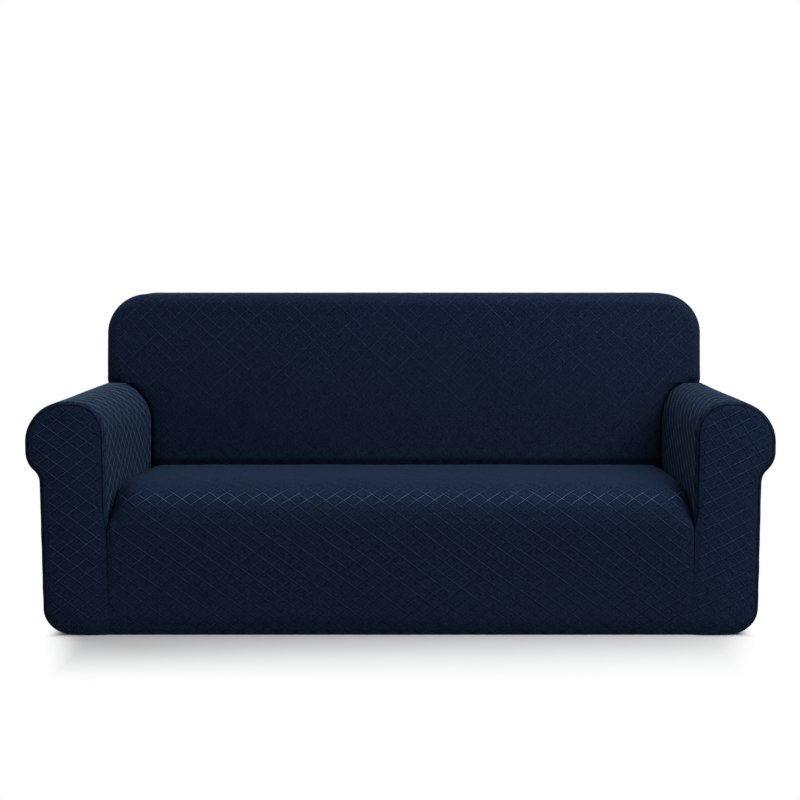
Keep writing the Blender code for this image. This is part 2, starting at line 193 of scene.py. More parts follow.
@dataclass(frozen=True)
class SeatForm:
    """The seat's section from the tuck behind it to the top of its flush front."""

    columns: tuple[str, ...] = ("mid_y", "mid_z", "side_y", "side_z", "shoulder")
    table: tuple[tuple[float, ...], ...] = (
        (0.570, 0.350, 0.582, 0.350, 0.050),
        (0.562, 0.379, 0.570, 0.352, 0.050),
        (0.540, 0.397, 0.546, 0.355, 0.052),
        (0.456, 0.406, 0.456, 0.356, 0.056),
        (0.314, 0.414, 0.342, 0.358, 0.060),
        (0.171, 0.420, 0.242, 0.358, 0.066),
        (0.093, 0.419, 0.190, 0.354, 0.072),
        (0.049, 0.407, 0.150, 0.347, 0.078),
        (0.021, 0.384, 0.105, 0.338, 0.082),
        (0.004, 0.353, 0.055, 0.324, 0.084),
        (-0.002, 0.325, 0.013, 0.305, 0.086),
        (-0.004, 0.310, 0.000, 0.292, 0.088),
    )
    steps: int = 96  # from the tuck to the flush front
    drop_steps: int = 42  # down the flush front
    across_steps: int = 200  # between the shoulders
    shoulder_steps: int = 14
    curve_steps: int = 16  # of the smooth curve, between two rows of the table

    def stations(self) -> dict[str, np.ndarray]:
        """The table's named columns on a smooth curve, at even steps along the cloth."""
        rows = np.array(self.table)
        ends = np.vstack([2 * rows[0] - rows[1], rows, 2 * rows[-1] - rows[-2]])
        found = [rows[0]]
        for before, here, after, beyond in zip(ends, ends[1:], ends[2:], ends[3:]):
            for t in np.linspace(0.0, 1.0, self.curve_steps + 1)[1:]:
                slope = (after - before) * t
                bend = (2 * before - 5 * here + 4 * after - beyond) * t**2
                twist = (3 * here - before - 3 * after + beyond) * t**3
                found.append((2 * here + slope + bend + twist) / 2)
        curve = np.array(found)
        run = run_length(curve[:, None, :4], 0)[:, 0]
        even = np.linspace(0.0, run[-1], self.steps + 1)
        return {name: np.interp(even, run, values) for name, values in zip(self.columns, curve.T)}

    def across(self, inner_edge: float, shoulder: float) -> tuple[np.ndarray, np.ndarray]:
        """Places across the seat, and how far each lies down its shoulder, from 0 to 1."""
        angle = quarter(self.shoulder_steps)
        run = inner_edge - shoulder * (1.0 - np.sin(angle))
        drop = 1.0 - np.cos(angle)
        middle = np.linspace(-run[0], run[0], self.across_steps + 1)[1:-1]
        x = np.concatenate([-run[::-1], middle, run])
        return x, np.concatenate([drop[::-1], np.zeros(len(middle)), drop])


@dataclass(frozen=True)
class BackForm:
    """The back: its lean, its outline over the arms and its soft front edge."""

    half: float = 0.942  # half its width
    top: float = 0.928
    corner: float = 0.123  # radius of the upper corners
    soft: float = 0.036  # rounding of the front edge
    lean: float = 0.12  # run back for each metre up
    at_seat: float = 0.570  # depth of the face where it meets the seat
    seat_seam: float = 0.350  # height of the tuck behind the seat
    tuck: float = 0.012  # how far the arms run on behind the face
    tuck_fade: float = 0.035  # height over the arms where the face leaves that tuck
    soft_steps: int = 9
    rise_steps: int = 22  # up the side
    corner_steps: int = 13  # round half a corner
    boxing_steps: int = 26  # over the thickness
    rise_power: float = 1.4  # gathers the side's steps near the arms

    def face(self, z: object) -> object:
        """Depth of the face at a height."""
        return self.at_seat + self.lean * (z - self.seat_seam)

    def tuck_above(self, z: np.ndarray, arm_top: float) -> np.ndarray:
        """Depth of the tuck that is left at a height over the arms."""
        return self.tuck * np.clip(1.0 - (z - arm_top) / self.tuck_fade, 0.0, 1.0) ** 2


@dataclass(frozen=True)
class ArmForm:
    """The arm's section: inner face, roll, the hollow under it, outer face and hem."""

    inner: float = 0.806  # half the seat's width between the arms
    roll_outer: float = 1.025  # half the width over the rolls
    body_outer: float = 0.988  # half the width under them
    taper: float = 0.001  # narrowing towards the floor
    top: float = 0.649
    turn_front: Pair = (0.086, 0.090)  # size of the roll's inner turn at the facing
    turn_rear: Pair = (0.094, 0.130)  # and where it meets the inside back
    outer_radius: float = 0.114
    under_radius: float = 0.067
    under_height: float = 0.510  # of that radius's centre
    neck_radius: float = 0.048
    hem_corner: float = 0.077  # radius of the turn at the floor
    inner_steps: int = 34
    roll_steps: int = 16
    top_steps: int = 3
    outer_steps: int = 20
    side_steps: int = 4
    neck_steps: int = 7
    hem_steps: int = 16

    def turn(self, share: float) -> np.ndarray:
        """Width and height of the roll's inner turn, from the facing at 0 to the back at 1."""
        return between(np.array(self.turn_front), np.array(self.turn_rear), share)

    def inner_face(self, foot: float, share: float = 1.0) -> np.ndarray:
        """The inner face from its foot up to the roll, with the foot."""
        top = (self.inner, self.top - self.turn(share)[1])
        return np.vstack([[self.inner, foot], line((self.inner, foot), top, self.inner_steps)])

    def roll_top(self, x: object) -> object:
        """Height of the roll's top at a place across it, from its crown outwards."""
        out = np.maximum(0.0, x - (self.roll_outer - self.outer_radius))
        return self.top - self.outer_radius + np.sqrt(self.outer_radius**2 - out**2)

    def roll_inside(self, back: BackForm, share: float = 1.0) -> np.ndarray:
        """Round the roll's inner turn and along its top, to the back's soft edge."""
        width, height = self.turn(share)
        angle = quarter(self.roll_steps)[1:]
        x = self.inner + width * (1.0 - np.cos(angle))
        turn = np.stack([x, self.top - height * (1.0 - np.sin(angle))], 1)
        top = line(turn[-1], (back.half - back.soft, self.top), self.top_steps)
        return np.vstack([turn, top])

    def under_back_edge(self, back: BackForm) -> np.ndarray:
        """The short stretch of the roll's top that the back's soft edge stands on."""
        x = back.half - back.soft * (1.0 - np.sin(quarter(back.soft_steps)[1:]))
        return np.stack([x, self.roll_top(x)], 1)

    def roll_outside(self, back: BackForm, wall_steps: int) -> np.ndarray:
        """From the back's side over the roll, its hollow and the outer face to the hem."""
        centre = (self.roll_outer - self.outer_radius, self.top - self.outer_radius)
        start = math.acos((back.half - centre[0]) / self.outer_radius)
        outer = arc(centre, self.outer_radius, start, 0.0, self.outer_steps)
        under = (self.roll_outer - self.under_radius, self.under_height)
        side = line(outer[-1], (self.roll_outer, self.under_height), self.side_steps)
        reach = self.under_radius + self.neck_radius
        turn = math.acos(1.0 - (self.roll_outer - self.body_outer) / reach)
        below = arc(under, self.under_radius, 0.0, -turn, self.neck_steps)
        hollow_centre = (self.body_outer + self.neck_radius, under[1] - reach * math.sin(turn))
        hollow = arc(hollow_centre, self.neck_radius, math.pi - turn, math.pi, self.neck_steps)
        foot = self.body_outer - self.taper
        wall = line(hollow[-1], (foot, self.hem_corner), wall_steps)
        hem_centre = (foot - self.hem_corner, self.hem_corner)
        hem = arc(hem_centre, self.hem_corner, 0.0, -math.pi / 2, self.hem_steps)
        return np.vstack([outer, side, below, hollow, wall, hem])

    @staticmethod
    def inward(section: np.ndarray) -> np.ndarray:
        """Unit vectors into the arm, square to its section."""
        run = np.gradient(section, axis=0)
        return unit(np.stack([run[:, 1], -run[:, 0]], 1))


@dataclass(frozen=True)
class CoverForm:
    """The whole cover: the three forms, and how its edges and hems run."""

    seat: SeatForm = field(default_factory=SeatForm)
    back: BackForm = field(default_factory=BackForm)
    arm: ArmForm = field(default_factory=ArmForm)
    depth: float = 0.86  # from the arm facings to the outside back
    edge_inset: float = 0.008  # of the facings' and the outside back's seams
    edge_run: float = 0.012  # depth of the rounding that leads to those seams
    edge_steps: int = 3
    edge_fade_height: float = 0.06
    hem_draw: float = 0.012  # how far the elastic draws the front and rear hems in
    hem_draw_from: float = 0.055  # height where that starts
    dome: float = 0.006  # crown of the facings and of the outside back
    skew: float = 0.008  # how far the seat well leans to the right at its rear
    skew_past: float = 0.02  # how far that goes on past the arms' inner faces
    skew_across: float = 0.12  # and over what width it then ends
    skew_under: float = 0.1  # height under the arms' top over which it ends

    @property
    def wall_steps(self) -> int:
        """Steps down an arm's outer face, so that a facing's two edges have as many."""
        arm = self.arm
        inner = self.seat.drop_steps + arm.inner_steps + arm.roll_steps
        other = arm.outer_steps + arm.side_steps + 2 * arm.neck_steps + arm.hem_steps
        return inner - other

    def outer_section(self) -> np.ndarray:
        """The arm's section from the back's side to the hem."""
        return self.arm.roll_outside(self.back, self.wall_steps)

    def drawn_in(self, z: np.ndarray) -> np.ndarray:
        """How far the elastic has drawn a front or rear hem in at a height."""
        return self.hem_draw * np.clip(1.0 - z / self.hem_draw_from, 0.0, 1.0) ** 2

    def edge_fade(self, z: np.ndarray, start: object = 0.0) -> np.ndarray:
        """Share of an edge's rounding, which runs out towards a start height."""
        return ease((z - start) / self.edge_fade_height)

    def outline(self, inset: float, foot: float) -> tuple[np.ndarray, np.ndarray]:
        """The back's outline over the arms, set in.

        Args:
            inset: How far it is set in.
            foot: Height where its side starts.

        Returns:
            Its right side up to the middle of the corner, and its right top half from there.
        """
        back, arm, seat = self.back, self.arm, self.seat
        radius = back.corner - inset
        centre = (back.half - back.corner, back.top - back.corner)
        rise = np.linspace(0.0, 1.0, back.rise_steps + 1)[:, None] ** back.rise_power
        start = np.array([back.half - inset, foot])
        straight = start + rise * (np.array([back.half - inset, centre[1]]) - start)
        half = math.pi / 4
        side = np.vstack([straight, arc(centre, radius, 0.0, half, back.corner_steps)])
        corner = arc(centre, radius, half, 2 * half, back.corner_steps)
        columns = seat.across_steps // 2 + seat.shoulder_steps + arm.top_steps
        top = line(corner[-1], (0.0, back.top - inset), columns - back.corner_steps)
        return side, np.vstack([side[-1:], corner, top])

    @staticmethod
    def filled(bottom: np.ndarray, side: np.ndarray, top: np.ndarray) -> np.ndarray:
        """Points of a patch between a bottom row, a right side and the top's right half."""
        top = np.vstack([mirrored(top), top[:-1][::-1]])
        left, right = mirrored(side), side
        u = np.linspace(0.0, 1.0, len(bottom))[None, :, None]
        v = np.linspace(0.0, 1.0, len(side))[:, None, None]
        ruled = (1 - v) * bottom[None] + v * top[None]
        crossed = (1 - u) * left[:, None] + u * right[:, None]
        low = (1 - u) * bottom[0] + u * bottom[-1]
        high = (1 - u) * top[0] + u * top[-1]
        return ruled + crossed - (1 - v) * low - v * high

    def in_place(self, points: np.ndarray) -> np.ndarray:
        """Lean the seat well to the right and set the origin under the cover's middle."""
        x, y, z = points[..., 0], points[..., 1], points[..., 2]
        near = 1.0 - ease((np.abs(x) - self.arm.inner - self.skew_past) / self.skew_across)
        low = ease((self.arm.top - z) / self.skew_under)
        lean = self.skew * y / self.back.at_seat * low * near
        return grid(x + lean, y - self.depth / 2, z)


# The panels


@dataclass(frozen=True)
class SeatFront:
    """The seat, rolled over its front edge and down to the hem, in one panel."""

    form: CoverForm

    def patches(self) -> list[Patch]:
        """The seat from the rear seam to the front, and on down to the hem."""
        form, seat = self.form, self.form.seat
        rows = []
        for mid_y, mid_z, side_y, side_z, shoulder in zip(*seat.stations().values()):
            x, drop = seat.across(form.arm.inner, shoulder)
            rows.append(grid(x, between(mid_y, side_y, drop), between(mid_z, side_z, drop)))
        top = rows[-1]
        for share in np.linspace(0.0, 1.0, seat.drop_steps + 1)[1:]:
            z = top[:, 2] * (1.0 - share)
            rows.append(grid(top[:, 0], top[:, 1] * (1.0 - share) + form.drawn_in(z), z))
        points = np.array(rows)
        middle = points.shape[1] // 2
        across = run_length(points, 1)
        across = across - across[:, middle : middle + 1]
        along = run_length(points[::-1], 0)[::-1]
        cloth = grid(across, along)
        return [Patch(Panel.SEAT_FRONT, points[:, ::-1], cloth[:, ::-1])]


@dataclass(frozen=True)
class ArmCover:
    """An arm's cover: inner face, over the roll, and down the outer face to the hem."""

    form: CoverForm

    def beside_seat(self) -> np.ndarray:
        """The right arm's points as far back as the inside back, a row for each station."""
        form, arm, back = self.form, self.form.arm, self.form.back
        stations = form.seat.stations()
        depths, feet = stations["side_y"][::-1], stations["side_z"][::-1]
        outside = form.outer_section()
        angle = quarter(back.soft_steps)[1:]
        soft = back.soft * (1.0 - np.cos(angle)) - back.tuck * angle / angle[-1]
        rows = []
        for depth, foot in zip(depths, feet):
            share = (depth - depths[0]) / (depths[-1] - depths[0])
            section = np.vstack([arm.inner_face(foot, share), arm.roll_inside(back, share)])
            section = np.vstack([section, arm.under_back_edge(back), outside])
            rear = back.face(section[:, 1]) + back.tuck
            past = len(section) - len(outside)
            rear[past - back.soft_steps : past] += soft
            rear[past:] = back.face(arm.roll_top(back.half)) + back.soft
            y = share * rear
            turn = np.clip(1.0 - y / form.edge_run, 0.0, 1.0)
            inset = form.edge_inset * (1.0 - np.sqrt(1.0 - turn**2))
            start = np.where(section[:, 0] <= arm.inner, feet[0], 0.0)
            inset *= form.edge_fade(section[:, 1], start)
            moved = section + arm.inward(section) * inset[:, None]
            y = y + (1.0 - share) * form.drawn_in(moved[:, 1])
            rows.append(grid(moved[:, 0], y, moved[:, 1]))
        return np.array(rows)

    def beside_back(self) -> np.ndarray:
        """The right arm's points from the inside back to the rear seam."""
        form, arm, back = self.form, self.form.arm, self.form.back
        foot = arm.roll_top(back.half)
        section = np.vstack([[[back.half, foot]], form.outer_section()])
        front = back.face(foot) + back.soft
        depths = np.linspace(front, form.depth - form.edge_run, back.boxing_steps + 1)
        rows = [(y, 0.0) for y in depths]
        for angle in quarter(form.edge_steps)[1:]:
            y = form.depth - form.edge_run * (1.0 - math.sin(angle))
            rows.append((y, form.edge_inset * (1.0 - math.cos(angle))))
        into = arm.inward(section)
        into[0] = (-1.0, -1.0)  # there the back's side and the roll meet, and both are drawn in
        points = []
        for y, inset in rows:
            moved = section + into * (inset * form.edge_fade(section[:, 1]))[:, None]
            share = (y - front) / (form.depth - front)
            points.append(grid(moved[:, 0], y - share * form.drawn_in(moved[:, 1]), moved[:, 1]))
        return np.array(points)

    @staticmethod
    def cloth_of(points: np.ndarray) -> np.ndarray:
        """Across the cloth is the sofa's depth, and along it is the run up from the hem."""
        return grid(points[..., 1], run_length(points[:, ::-1], 1)[:, ::-1])

    def patches(self) -> list[Patch]:
        """Both arms' patches."""
        found = []
        for points in (self.beside_seat(), self.beside_back()):
            right = Patch(Panel.ARM_RIGHT, points, self.cloth_of(points))
            found += [right, right.on_left(Panel.ARM_LEFT)]
        return found


@dataclass(frozen=True)
class ArmFacing:
    """The shaped panel on an arm's front, from the hem up to the roll."""

    form: CoverForm
    edge_gather: float = 0.7  # how much finer its columns are near the seams
    dome_fade: int = 4  # how late the dome ends towards the roll

    def patches(self) -> list[Patch]:
        """Both facings' patches."""
        form, arm = self.form, self.form.arm
        drop_steps = form.seat.drop_steps
        top = form.seat.stations()["side_z"][-1]
        below = line((arm.inner, 0.0), (arm.inner, top), drop_steps)[:-1]
        below = np.vstack([[arm.inner, 0.0], below])
        edge = ArmCover(form).beside_seat()[0][:, [0, 2]]
        turn = arm.inner_steps + arm.roll_steps + 1
        across = arm.top_steps + form.back.soft_steps
        inner = np.vstack([below, edge[:turn]])
        outer = edge[turn + across - 1 :][::-1]
        share = np.linspace(0.0, 1.0, across + 1)
        share = share - self.edge_gather * np.sin(2 * math.pi * share) / (2 * math.pi)
        points = inner[:, None] + share[:, None] * (outer - inner)[:, None]
        points[-1] = edge[turn - 1 : turn + across]
        rise = np.linspace(0.0, 1.0, len(points))[:, None]
        dome = form.dome * np.sin(math.pi * share) * (1.0 - rise**self.dome_fade)
        x, z = points[..., 0], points[..., 1]
        middle = (arm.inner + arm.roll_outer) / 2
        domed = grid(x, form.drawn_in(z) - dome, z)
        right = Patch(Panel.ARM_FRONT_RIGHT, domed, grid(x - middle, z))
        return [right, right.on_left(Panel.ARM_FRONT_LEFT)]


@dataclass(frozen=True)
class InsideBack:
    """The inside back, with the edges that it wraps over the top and round the sides."""

    form: CoverForm

    def between_arms(self) -> np.ndarray:
        """From the rear seam of the seat to the top of the arms."""
        form, arm, back = self.form, self.form.arm, self.form.back
        edge = np.vstack([arm.inner_face(back.seat_seam), arm.roll_inside(back)[: arm.roll_steps]])
        x, tuck = form.seat.across(arm.inner, form.seat.table[0][-1])
        z = edge[:, 1][:, None]
        return grid(np.outer(edge[:, 0], x / arm.inner), back.face(z) + back.tuck * tuck, z)

    def above_arms(self) -> np.ndarray:
        """The face over the arms, as far as its soft edge."""
        form, arm, back = self.form, self.form.arm, self.form.back
        x, drop = form.seat.across(arm.inner, form.seat.table[0][-1])
        x = x * (arm.inner + arm.turn_rear[0]) / arm.inner
        flat = arm.roll_inside(back)[arm.roll_steps :, 0]
        x = np.concatenate([-flat[::-1], x, flat])
        tuck = np.concatenate([np.ones(arm.top_steps), drop, np.ones(arm.top_steps)])
        bottom = np.stack([x, np.full(len(x), arm.top)], 1)
        points = form.filled(bottom, *form.outline(back.soft, arm.top))
        z = points[..., 1]
        return grid(points[..., 0], back.face(z) + tuck * back.tuck_above(z, arm.top), z)

    def boxing(self) -> np.ndarray:
        """The soft edge and the thickness, from the face to the rear seam."""
        form, arm, back = self.form, self.form.arm, self.form.back
        rings = []
        for angle in quarter(back.soft_steps):
            inset, run = (back.soft * (1.0 - turn) for turn in (math.sin(angle), math.cos(angle)))
            rings.append((inset, run, 0.0, 1.0 - angle / (math.pi / 2)))
        for share in np.linspace(0.0, 1.0, back.boxing_steps + 1)[1:]:
            rings.append((0.0, back.soft, share, 0.0))
        for angle in quarter(form.edge_steps)[1:]:
            inset = form.edge_inset * (1.0 - math.cos(angle))
            rings.append((inset, back.soft, 1.0 + math.sin(angle), 0.0))
        rear = form.depth - form.edge_run
        points = []
        for inset, run, share, tuck in rings:
            rounded = share > 1.0  # past the thickness, towards the rear seam
            foot = arm.roll_top(back.half) - inset if rounded else arm.roll_top(back.half - inset)
            side, top = form.outline(inset, foot)
            path = np.vstack([mirrored(side), mirrored(top)[1:], top[:-1][::-1], side[:-1][::-1]])
            z = path[:, 1]
            if rounded:
                y = np.full(len(z), rear + form.edge_run * (share - 1.0))
            else:
                front = back.face(z) + run + tuck * back.tuck_above(z, arm.top)
                y = between(front, rear, share)
            points.append(grid(path[:, 0], y, z))
        return np.array(points)

    def face_cloth(self, points: np.ndarray) -> np.ndarray:
        """On the face, the cloth runs with the width and up the lean."""
        slope = math.hypot(1.0, self.form.back.lean)
        return grid(points[..., 0], points[..., 2] * slope)

    def boxing_cloth(self, points: np.ndarray) -> np.ndarray:
        """Past the face, the cloth runs on outwards from where it leaves the face."""
        start = self.face_cloth(points[0])
        path = points[0][:, [0, 2]]
        run = np.gradient(path, axis=0)
        out = unit(np.stack([-run[:, 1], run[:, 0]], 1))
        return start + out * run_length(points, 0)[..., None]

    def patches(self) -> list[Patch]:
        """The panel's three patches."""
        low, high, boxing = self.between_arms(), self.above_arms(), self.boxing()
        return [
            Patch(Panel.BACK_INSIDE, low, self.face_cloth(low)),
            Patch(Panel.BACK_INSIDE, high, self.face_cloth(high)),
            Patch(Panel.BACK_INSIDE, boxing, self.boxing_cloth(boxing)),
        ]


@dataclass(frozen=True)
class OutsideBack:
    """The outside back, from the rear hem up to the back's top."""

    form: CoverForm
    crown_flat: int = 6  # how flat its crown is in the middle
    crown_rise: float = 0.1  # height over the hem where the crown is whole
    crown_fade: int = 3  # how late it ends towards the top

    def patches(self) -> list[Patch]:
        """Its part beside the arms, and the part over them."""
        form, arm, back, seat = self.form, self.form.arm, self.form.back, self.form.seat
        edge = ArmCover(form).beside_back()[-1][::-1]
        columns = seat.across_steps + 2 * (seat.shoulder_steps + arm.top_steps)
        share = np.linspace(-1.0, 1.0, columns + 1)
        crown = form.dome * (1.0 - share**self.crown_flat)
        z = edge[:, 2][:, None]
        y = edge[:, 1][:, None] + crown * ease(z / self.crown_rise)
        lower = grid(np.outer(edge[:, 0], share), y, z)
        side, top = form.outline(form.edge_inset, arm.roll_top(back.half) - form.edge_inset)
        points = form.filled(lower[-1][:, [0, 2]], side, top)
        rise = np.linspace(0.0, 1.0, len(side))[:, None]
        y = form.depth + crown * (1.0 - rise**self.crown_fade)
        upper = grid(points[..., 0], y, points[..., 1])
        found = []
        for part in (lower, upper):
            part = part[:, ::-1]
            found.append(Patch(Panel.BACK_OUTSIDE, part, grid(-part[..., 0], part[..., 2])))
        return found


# The skin, its relief and the sheets that are parted from it


@dataclass(frozen=True)
class Relief:
    """How sewn and stretched cloth stands off the smooth form, in metres."""

    seam_depth: float = 0.0016  # of the valley at a seam
    seam_reach: float = 0.0075
    swell: float = 0.0007  # of the cloth beside that valley
    swell_at: float = 0.016
    pucker: float = 0.0008  # of the small pulls that the stitching makes
    pucker_reach: float = 0.035
    # Each wave's direction, as long as its turns for each metre, and its phase
    pucker_waves: Waves = (
        (71.0, 63.0, 77.0, 0.4),
        (-104.0, 93.0, 88.0, 1.7),
        (47.0, -58.0, 51.0, 2.9),
    )
    slack: float = 0.0012  # of the broad unevenness
    slack_waves: Waves = (
        (9.1, 6.3, 11.7, 0.3),
        (-14.3, 10.9, 7.7, 1.1),
        (5.3, -8.9, 17.1, 2.3),
        (21.7, 5.9, -9.3, 4.0),
    )
    slack_off_seam: float = 0.08  # distance from a seam where it is whole
    slack_off_hem: float = 0.04
    hem_groove: float = 0.0006  # where the hem is sewn
    hem_height: float = 0.020
    hem_groove_reach: float = 0.003

    @staticmethod
    def waves(points: np.ndarray, table: Waves) -> np.ndarray:
        """A smooth uneven field, from -1 to 1, of waves in several directions."""
        total = np.zeros(len(points))
        for x, y, z, phase in table:
            total += np.sin(points @ np.array([x, y, z]) + phase)
        return total / len(table)

    def height(
        self, points: np.ndarray, seam: np.ndarray, fold: np.ndarray, hem: np.ndarray
    ) -> np.ndarray:
        """How far each point stands off the form.

        Args:
            points: The form's points.
            seam: Each point's distance to the nearest seam.
            fold: How sharply the cloth turns at that seam, from 0 to 1.
            hem: Each point's distance to the hem.

        Returns:
            The heights.
        """
        valley = -self.seam_depth * fold * bell(seam, self.seam_reach)
        beside = self.swell * fold * bell(seam - self.swell_at, self.seam_reach)
        near = np.exp(-seam / self.pucker_reach) * ease(seam / self.seam_reach)
        pulls = self.pucker * fold * near * self.waves(points, self.pucker_waves)
        free = self.slack * ease(seam / self.slack_off_seam) * ease(hem / self.slack_off_hem)
        slack = free * self.waves(points, self.slack_waves)
        groove = -self.hem_groove * bell(hem - self.hem_height, self.hem_groove_reach)
        return valley + beside + pulls + slack + groove


def nearest(points: np.ndarray, targets: np.ndarray) -> tuple[np.ndarray, np.ndarray]:
    """Distance from each point to the nearest target, and that target's number."""
    tree = kdtree.KDTree(len(targets))
    for index, target in enumerate(targets):
        tree.insert(target, index)
    tree.balance()
    found = [tree.find(point) for point in points]
    return np.array([hit[2] for hit in found]), np.array([hit[1] for hit in found])


class Skin:
    """All the panels in one welded skin, with each face's panel and cloth."""

    WELD = 1e-5
    THICKNESS = 0.002
    SEAM_GAP = 0.00014
    FLUSH = 0.03  # how much a flush seam shows, in relief and in painted shade, beside a deep one
    EDGE = 0.90  # and one along an outer edge
    WHOLE_TURN = 0.3  # turn at a seam, as 1 less its cosine, from which it counts as deep
    LEVEL = (0.80, 0.95)  # how far up the cloth's normal points where it counts as level

    def __init__(self, patches: list[Patch], form: CoverForm) -> None:
        """Weld the patches.

        Args:
            patches: Grids that share their points along the seams.
            form: The form that they are cut for.
        """
        points, quads, cloth, owner, count = [], [], [], [], 0
        self.panels = list(Panel)
        for patch in patches:
            rows, columns = patch.points.shape[:2]
            number = count + np.arange(rows * columns).reshape(rows, columns)
            corners = (np.s_[:-1, :-1], np.s_[:-1, 1:], np.s_[1:, 1:], np.s_[1:, :-1])
            quads.append(np.stack([number[c] for c in corners], -1).reshape(-1, 4))
            cloth.append(np.stack([patch.cloth[c] for c in corners], -2).reshape(-1, 4, 2))
            owner.append(np.full(len(quads[-1]), self.panels.index(patch.panel)))
            points.append(form.in_place(patch.points).reshape(-1, 3))
            count += rows * columns
        loose = np.concatenate(points)
        kept, place = self.weld(loose)
        self.points = loose[kept]
        self.quads = place[np.concatenate(quads)]
        self.cloth = np.concatenate(cloth)
        self.owner = np.concatenate(owner)
        self.find_edges()

    def numbers(self, *panels: Panel) -> list[int]:
        """The panels' numbers, in rising order."""
        return sorted(self.panels.index(panel) for panel in panels)

    def weld(self, loose: np.ndarray) -> tuple[np.ndarray, np.ndarray]:
        """Which points are kept, and the new place of each of them all."""
        cloud = bmesh.new()
        for point in loose:
            cloud.verts.new(point)
        cloud.verts.index_update()
        pairs = bmesh.ops.find_doubles(cloud, verts=cloud.verts, dist=self.WELD)["targetmap"]
        target = np.arange(len(loose))
        for vert, onto in pairs.items():
            target[vert.index] = onto.index
        cloud.free()
        kept, place = np.unique(target, return_inverse=True)
        return kept, place

    def find_edges(self) -> None:
        """Find the seams, where two panels meet, and the hems, where the cloth ends."""
        pairs = sides(self.quads)
        face = np.tile(np.arange(len(self.quads)), 4)
        key = np.sort(pairs, 1)
        _, group, uses = np.unique(key, axis=0, return_inverse=True, return_counts=True)
        order = np.argsort(group.reshape(-1), kind="stable")
        starts = np.concatenate([[0], np.cumsum(uses)[:-1]])
        self.hem_edges = pairs[order[starts[uses == 1]]]
        twice = starts[uses == 2]
        ones, others = order[twice], order[twice + 1]
        seam = self.owner[face[ones]] != self.owner[face[others]]
        self.seam_edges = pairs[ones[seam]]
        self.seam_faces = np.stack([face[ones[seam]], face[others[seam]]], 1)
        counts = len(self.quads), len(self.seam_edges), len(self.hem_edges)
        LOG.info("skin: %d faces, seams %d, hems %d", *counts)

    def face_normals(self) -> np.ndarray:
        """Each face's normal, as long as its area."""
        a, b, c, d = (self.points[self.quads[:, i]] for i in range(4))
        return np.cross(c - a, d - b) / 2

    def normals(self) -> np.ndarray:
        """Each point's normal over all the faces round it."""
        total = np.zeros_like(self.points)
        face = self.face_normals()
        for corner in range(4):
            np.add.at(total, self.quads[:, corner], face)
        return unit(total)

    def folds(self) -> np.ndarray:
        """How much each seam point's seam shows, in relief and in painted shade: little where
        flush, most in a crevice.
        """
        normal = unit(self.face_normals())
        centre = self.points[self.quads].mean(1)
        one, other = self.seam_faces.T
        turn = 1.0 - np.sum(normal[one] * normal[other], 1)
        hollow = np.sum((normal[other] - normal[one]) * (centre[other] - centre[one]), 1) < 0
        shown = between(self.FLUSH, np.where(hollow, 1.0, self.EDGE), ease(turn / self.WHOLE_TURN))
        arms = self.numbers(Panel.ARM_LEFT, Panel.ARM_RIGHT)
        facings = self.numbers(Panel.ARM_FRONT_LEFT, Panel.ARM_FRONT_RIGHT)
        owner = self.owner[self.seam_faces]
        # the seams round the facings show as an outer edge does: a groove with a line of painted
        # shade
        outlined = np.isin(owner, arms).any(1) & np.isin(owner, facings).any(1)
        shown = np.where(outlined, np.maximum(shown, self.EDGE), shown)
        total, count = np.zeros(len(self.points)), np.zeros(len(self.points))
        for i in (0, 1):
            np.add.at(total, self.seam_edges[:, i], shown)
            np.add.at(count, self.seam_edges[:, i], 1.0)
        return total / np.maximum(count, 1.0)

    def shape(self, relief: Relief) -> None:
        """Give the skin its relief, and keep how far each point lies from seam and hem."""
        sewn = np.unique(self.seam_edges)
        self.seam, closest = nearest(self.points, self.points[sewn])
        self.fold = self.folds()[sewn][closest]
        self.hem, _ = nearest(self.points, self.points[np.unique(self.hem_edges)])
        pair = self.numbers(Panel.SEAT_FRONT, Panel.BACK_INSIDE)
        tucked = (np.sort(self.owner[self.seam_faces], 1) == pair).all(1)
        self.tuck, _ = nearest(self.points, self.points[np.unique(self.seam_edges[tucked])])
        height = relief.height(self.points, self.seam, self.fold, self.hem)
        normals = self.normals()
        self.level = over(normals[:, 2], self.LEVEL)
        moved = self.points + normals * height[:, None]
        ends = np.unique(self.hem_edges)
        moved[ends, 2] = self.points[ends, 2]
        moved[:, 2] = np.maximum(moved[:, 2], 0.0)
        self.points = moved

    def seam_shift(self, panel: int) -> np.ndarray:
        """Half the seam gap at each point, square to the seam and towards the panel."""
        shift = np.zeros_like(self.points)
        centre = self.points[self.quads].mean(1)
        normal = unit(self.face_normals())
        for own, other in ((0, 1), (1, 0)):
            mine = self.owner[self.seam_faces[:, own]] == panel
            start, end = (self.points[self.seam_edges[mine, i]] for i in (0, 1))
            into = []
            for which in (own, other):
                face = self.seam_faces[mine, which]
                way = unit(np.cross(normal[face], end - start))
                inside = np.sum(way * (centre[face] - (start + end) / 2), 1)
                into.append(np.where(inside[:, None] < 0, -way, way))
            mitre = unit(into[0] - into[1])
            for i in (0, 1):
                np.add.at(shift, self.seam_edges[mine, i], mitre)
        return unit(shift) * self.SEAM_GAP / 2


